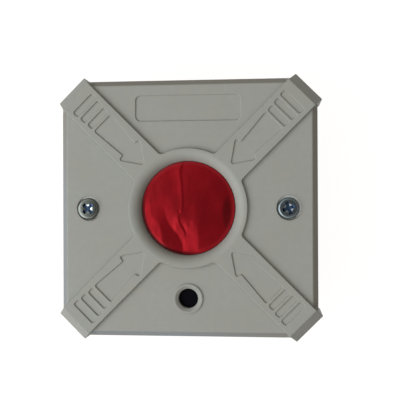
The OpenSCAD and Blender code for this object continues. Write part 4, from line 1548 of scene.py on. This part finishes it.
@dataclass
class Case:
    """Front cover, back box, their screws and the cable grommet."""

    cover_round: EdgeRound = EdgeRound(0.3, 3, (RESET_COLLAR,), from_degrees=34.0)
    box_round: EdgeRound = EdgeRound(0.35, 3)
    grommet_round: EdgeRound = EdgeRound(0.3, 3)
    screw_x: float = 32.6
    screw_off: Point2 = (-0.18, -0.1)
    screw_seat_z: float = 31.2
    screw_turns: tuple[float, float] = (45.0, 20.0)
    screw_head: float = 7.0
    screw_head_height: float = 2.0
    screw_shank: float = 3.5
    screw_length: float = 24.7

    def build(self, nodes: Nodes, screws: PanScrewTree) -> None:
        """Builds and dresses the case.

        Args:
            nodes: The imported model's nodes by name.
            screws: The screws' node tree.
        """
        cover, box, grommet = self.cover_round, self.box_round, self.grommet_round
        for piece in (
            RoundedNode("front_cover", "cover_moulding", "case_grey", CASE_GREY, round=cover),
            RoundedNode("back_box", "box_moulding", "case_grey", CASE_GREY, round=box),
            RoundedNode("cable_grommet", "entry_grommet", "grommet_rubber", RUBBER_BLACK, round=grommet),
        ):
            piece.build(nodes)
        off_x, off_y = self.screw_off
        places = tuple((side * self.screw_x + off_x, off_y, self.screw_seat_z) for side in (-1, 1))
        ScrewSet(
            "cover_screws",
            "cover_screw_pair",
            places,
            self.screw_turns,
            self.screw_head,
            self.screw_head_height,
            self.screw_shank,
            self.screw_length,
            finish=COVER_ZINC,
        ).build(screws)


@dataclass
class Inside:
    """The sprung plate, the board and all that stands on it.

    A screw's section is the width and height of its head and the width of its shank. A coil is its
    mean width, its wire and its turns.
    """

    plate_z: float = 18.2735
    plate_top: float = 20.2735
    cap_under: float = 28.2
    plate_screw: float = 17.0
    board_top: float = 6.6
    board_screw_x: float = 12.5
    board_screw_y: Point2 = (18.5, -33.0)
    screw_turns: tuple[float, ...] = (12.0, 57.0, 33.0, 78.0)
    screw_section: Point3 = (4.5, 1.5, 2.5)
    plate_screw_length: float = 8.0
    board_screw_length: float = 5.2
    button_coil: Point3 = (22.0, 0.9, 3.0)
    button_travel: float = 3.0
    reset_coil: Point3 = (5.4, 0.5, 6.0)
    reset_travel: float = 1.5
    reset_y: float = -29.3
    reset_seat: float = 11.6
    reset_collar: float = 23.0

    def build(self, nodes: Nodes, screws: PanScrewTree, coils: CoilTree) -> None:
        """Builds and dresses the pieces inside the case.

        Args:
            nodes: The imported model's nodes by name.
            screws: The screws' node tree.
            coils: The springs' node tree.
        """
        self.build_screws(screws)
        self.build_springs(coils)
        fine, plate, pin, relay = (
            EdgeRound(0.12, 2),
            EdgeRound(0.2, 2),
            EdgeRound(0.2, 3),
            EdgeRound(0.3, 3),
        )
        rounded = (
            RoundedNode("spring_plate", "seat_plate", "plate_grey", PLATE_GREY, round=plate),
            RoundedNode("microswitch_body", "switch_case", "switch_black", SWITCH_BLACK, round=fine),
            RoundedNode(
                "reset_switch_body", "reset_switch_case", "switch_black", SWITCH_BLACK, round=fine
            ),
            RoundedNode("reset_plunger", "reset_pin", "reset_black", RESET_BLACK, Body.RESET, pin),
            RoundedNode("terminal_block", "terminal_case", "terminal_green", TERMINAL_GREEN, round=fine),
            RoundedNode("relay_body", "relay_case", "relay_blue", RELAY_BLUE, round=relay),
            RoundedNode("capacitor", "can", "can_sleeve", CAN_BLUE, round=fine),
        )
        for piece in rounded:
            piece.build(nodes)
        plain = (
            PlainNode("circuit_board", BOARD_GREEN),
            PlainNode("microswitch_lever", LEVER_STEEL),
            PlainNode("microswitch_plunger", PLUNGER_RED),
            PlainNode("microswitch_pins", TIN),
            PlainNode("reset_switch_stem", ACETAL_WHITE),
            PlainNode("reset_switch_pins", TIN),
            PlainNode("terminal_clamps", BRASS),
            PlainNode("terminal_screws", ZINC),
            PlainNode("relay_pins", TIN),
            PlainNode("resistors", RESISTOR_TAN),
        )
        for piece in plain:
            piece.dress(nodes)

    def build_screws(self, tree: PanScrewTree) -> None:
        """Builds the plate's and the board's small screws.

        Args:
            tree: The screws' node tree.
        """
        off, board_x = (-self.plate_screw, self.plate_screw), (-self.board_screw_x, self.board_screw_x)
        at_plate = tuple((x, y, self.plate_z) for x in off for y in off)
        at_board = tuple((x, y, self.board_top) for x in board_x for y in self.board_screw_y)
        for node, piece, places, length, facing in (
            ("plate_screws", "plate_screw_set", at_plate, self.plate_screw_length, Facing.WALL),
            ("board_screws", "board_screw_set", at_board, self.board_screw_length, Facing.FRONT),
        ):
            ScrewSet(
                node, piece, places, self.screw_turns, *self.screw_section, length, facing
            ).build(tree)

    def build_springs(self, tree: CoilTree) -> None:
        """Builds the button's and the reset plunger's springs.

        Args:
            tree: The springs' node tree.
        """
        CoilSpring(
            "return_spring",
            "button_coil",
            "button_press",
            *self.button_coil,
            self.plate_top,
            self.cap_under,
            self.button_travel,
        ).build(tree)
        CoilSpring(
            "reset_spring",
            "reset_coil",
            "reset_press",
            *self.reset_coil,
            self.reset_seat,
            self.reset_collar,
            self.reset_travel,
            self.reset_y,
        ).build(tree)


@dataclass
class Studio:
    """Pale floor, soft light from the lower left and the camera of the photograph."""

    floor_half: float = 4.0
    floor_z_mm: float = -0.2
    floor_colour: Colour = (0.14, 0.115, 0.09)
    floor_lift: float = 0.95
    dim: float = 0.18
    far_side: float = 0.3
    lit_side: float = 1.62
    far_tone: Colour = (1.0, 0.94, 0.84)
    lit_tone: Colour = (0.98, 1.01, 1.03)
    lit_way: Point3 = (-0.95, -0.3, 0.0)
    lit_range: Point2 = (-0.9, 0.9)
    band_rise: Point2 = (0.22, 0.62)
    band_fall: Point2 = (0.88, 0.99)
    low_rise: Point2 = (0.0, 0.55)
    low_share: float = 0.1
    key_way: Point3 = (-0.75, -0.25, 0.61)
    key_away: float = 0.8
    key_size: float = 0.8
    key_power: float = 3.6
    key_tone: Colour = (0.97, 1.0, 1.02)
    eye_mm: Point3 = (25.43, 1.65, 257.33)
    turn_deg: Point3 = (0.22, 5.441, -0.228)
    lens: float = 63.0
    sensor: float = 36.0
    clip_start: float = 0.01

    def build(self) -> None:
        """Sets up the floor, the light, the camera and the display transform."""
        self.build_camera()
        self.build_floor()
        self.build_world()
        self.build_key()
        bpy.context.scene.view_settings.view_transform = "Standard"

    def build_camera(self) -> None:
        """Places the camera where the photograph was taken from."""
        data = bpy.data.cameras.new("camera")
        data.lens = self.lens
        data.sensor_width = self.sensor
        data.clip_start = self.clip_start
        camera = bpy.data.objects.new("camera", data)
        camera.location = [at * MM for at in self.eye_mm]
        camera.rotation_euler = [math.radians(turn) for turn in self.turn_deg]
        bpy.context.scene.collection.objects.link(camera)
        bpy.context.scene.camera = camera

    def build_floor(self) -> None:
        """Lays a floor that looks white and keeps the object's shadow."""
        half, level = self.floor_half, self.floor_z_mm * MM
        mesh = bpy.data.meshes.new("floor")
        square = ((-half, -half), (half, -half), (half, half), (-half, half))
        mesh.from_pydata([(x, y, level) for x, y in square], [], [(0, 1, 2, 3)])
        shader = Shader("floor_white")
        matt = shader.node("ShaderNodeBsdfDiffuse", {}, {"Color": (*self.floor_colour, 1.0)})
        strength = seen_directly(shader) * self.floor_lift
        lift = shader.node("ShaderNodeEmission", {}, {"Strength": strength})
        both = shader.node("ShaderNodeAddShader", {}, {0: matt, 1: lift})
        shader.node("ShaderNodeOutputMaterial", {}, {"Surface": both})
        mesh.materials.append(shader.material)
        floor = bpy.data.objects.new("floor", mesh)
        bpy.context.scene.collection.objects.link(floor)

    def build_world(self) -> None:
        """Makes a soft room: a bright band round a dim ceiling, brightest at the lower left.

        The camera itself sees it white.
        """
        world = bpy.data.worlds.new("room")
        world.use_nodes = True
        bpy.context.scene.world = world
        room = Graph(world.node_tree)
        way = room.node("ShaderNodeTexCoord", output="Generated")
        up = room.node("ShaderNodeSeparateXYZ", {}, {0: way}, "Z")
        towards, ways = {"operation": "DOT_PRODUCT"}, {0: way, 1: self.lit_way}
        share = room.node("ShaderNodeVectorMath", towards, ways, "Value").between(*self.lit_range)
        side = self.far_side + share * (self.lit_side - self.far_side)
        band = up.between(*self.band_rise) * (1 - up.between(*self.band_fall))
        above = self.low_share + up.between(*self.low_rise) * (1 - self.low_share)
        level = (self.dim + band * (side - self.dim)) * above
        camera = room.node("ShaderNodeLightPath", output="Is Camera Ray")
        strength = level + camera * (1 - level)
        tone = room.mixed(camera, room.mixed(share, self.far_tone, self.lit_tone), (1.0, 1.0, 1.0))
        light = room.node("ShaderNodeBackground", {}, {"Color": tone, "Strength": strength})
        room.node("ShaderNodeOutputWorld", {}, {"Surface": light})

    def build_key(self) -> None:
        """Hangs the large soft lamp."""
        data = bpy.data.lights.new("soft_key", "AREA")
        data.shape = "SQUARE"
        data.size = self.key_size
        data.energy = self.key_power
        data.color = self.key_tone
        lamp = bpy.data.objects.new("soft_key", data)
        way = Vector(self.key_way).normalized()
        lamp.location = way * self.key_away
        lamp.rotation_euler = (-way).to_track_quat("-Z", "Y").to_euler()
        bpy.context.scene.collection.objects.link(lamp)


def seen_directly(graph: Graph) -> Value:
    """Tells where a surface is seen itself, in a mirror or through glass.

    Args:
        graph: Tree that the nodes are added to.

    Returns:
        One there, and zero where the surface only lights others.
    """
    path = graph.node("ShaderNodeLightPath", output="Is Camera Ray")
    seen = path + path.other("Is Glossy Ray") + path.other("Is Transmission Ray")
    return seen.math("MINIMUM", seen, 1.0)


def main() -> None:
    """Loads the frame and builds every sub-assembly."""
    logging.basicConfig(level=logging.INFO, format="%(message)s")
    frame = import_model()
    nodes = frame["nodes"]
    Studio().build()
    screws = PanScrewTree()
    Case().build(nodes, screws)
    PushButton(Crinkle(FILM_FACETS, FILM_REACH)).build(nodes)
    Inside().build(nodes, screws, CoilTree())
    LOG.info("all pieces built")


if __name__ == "__main__":
    main()
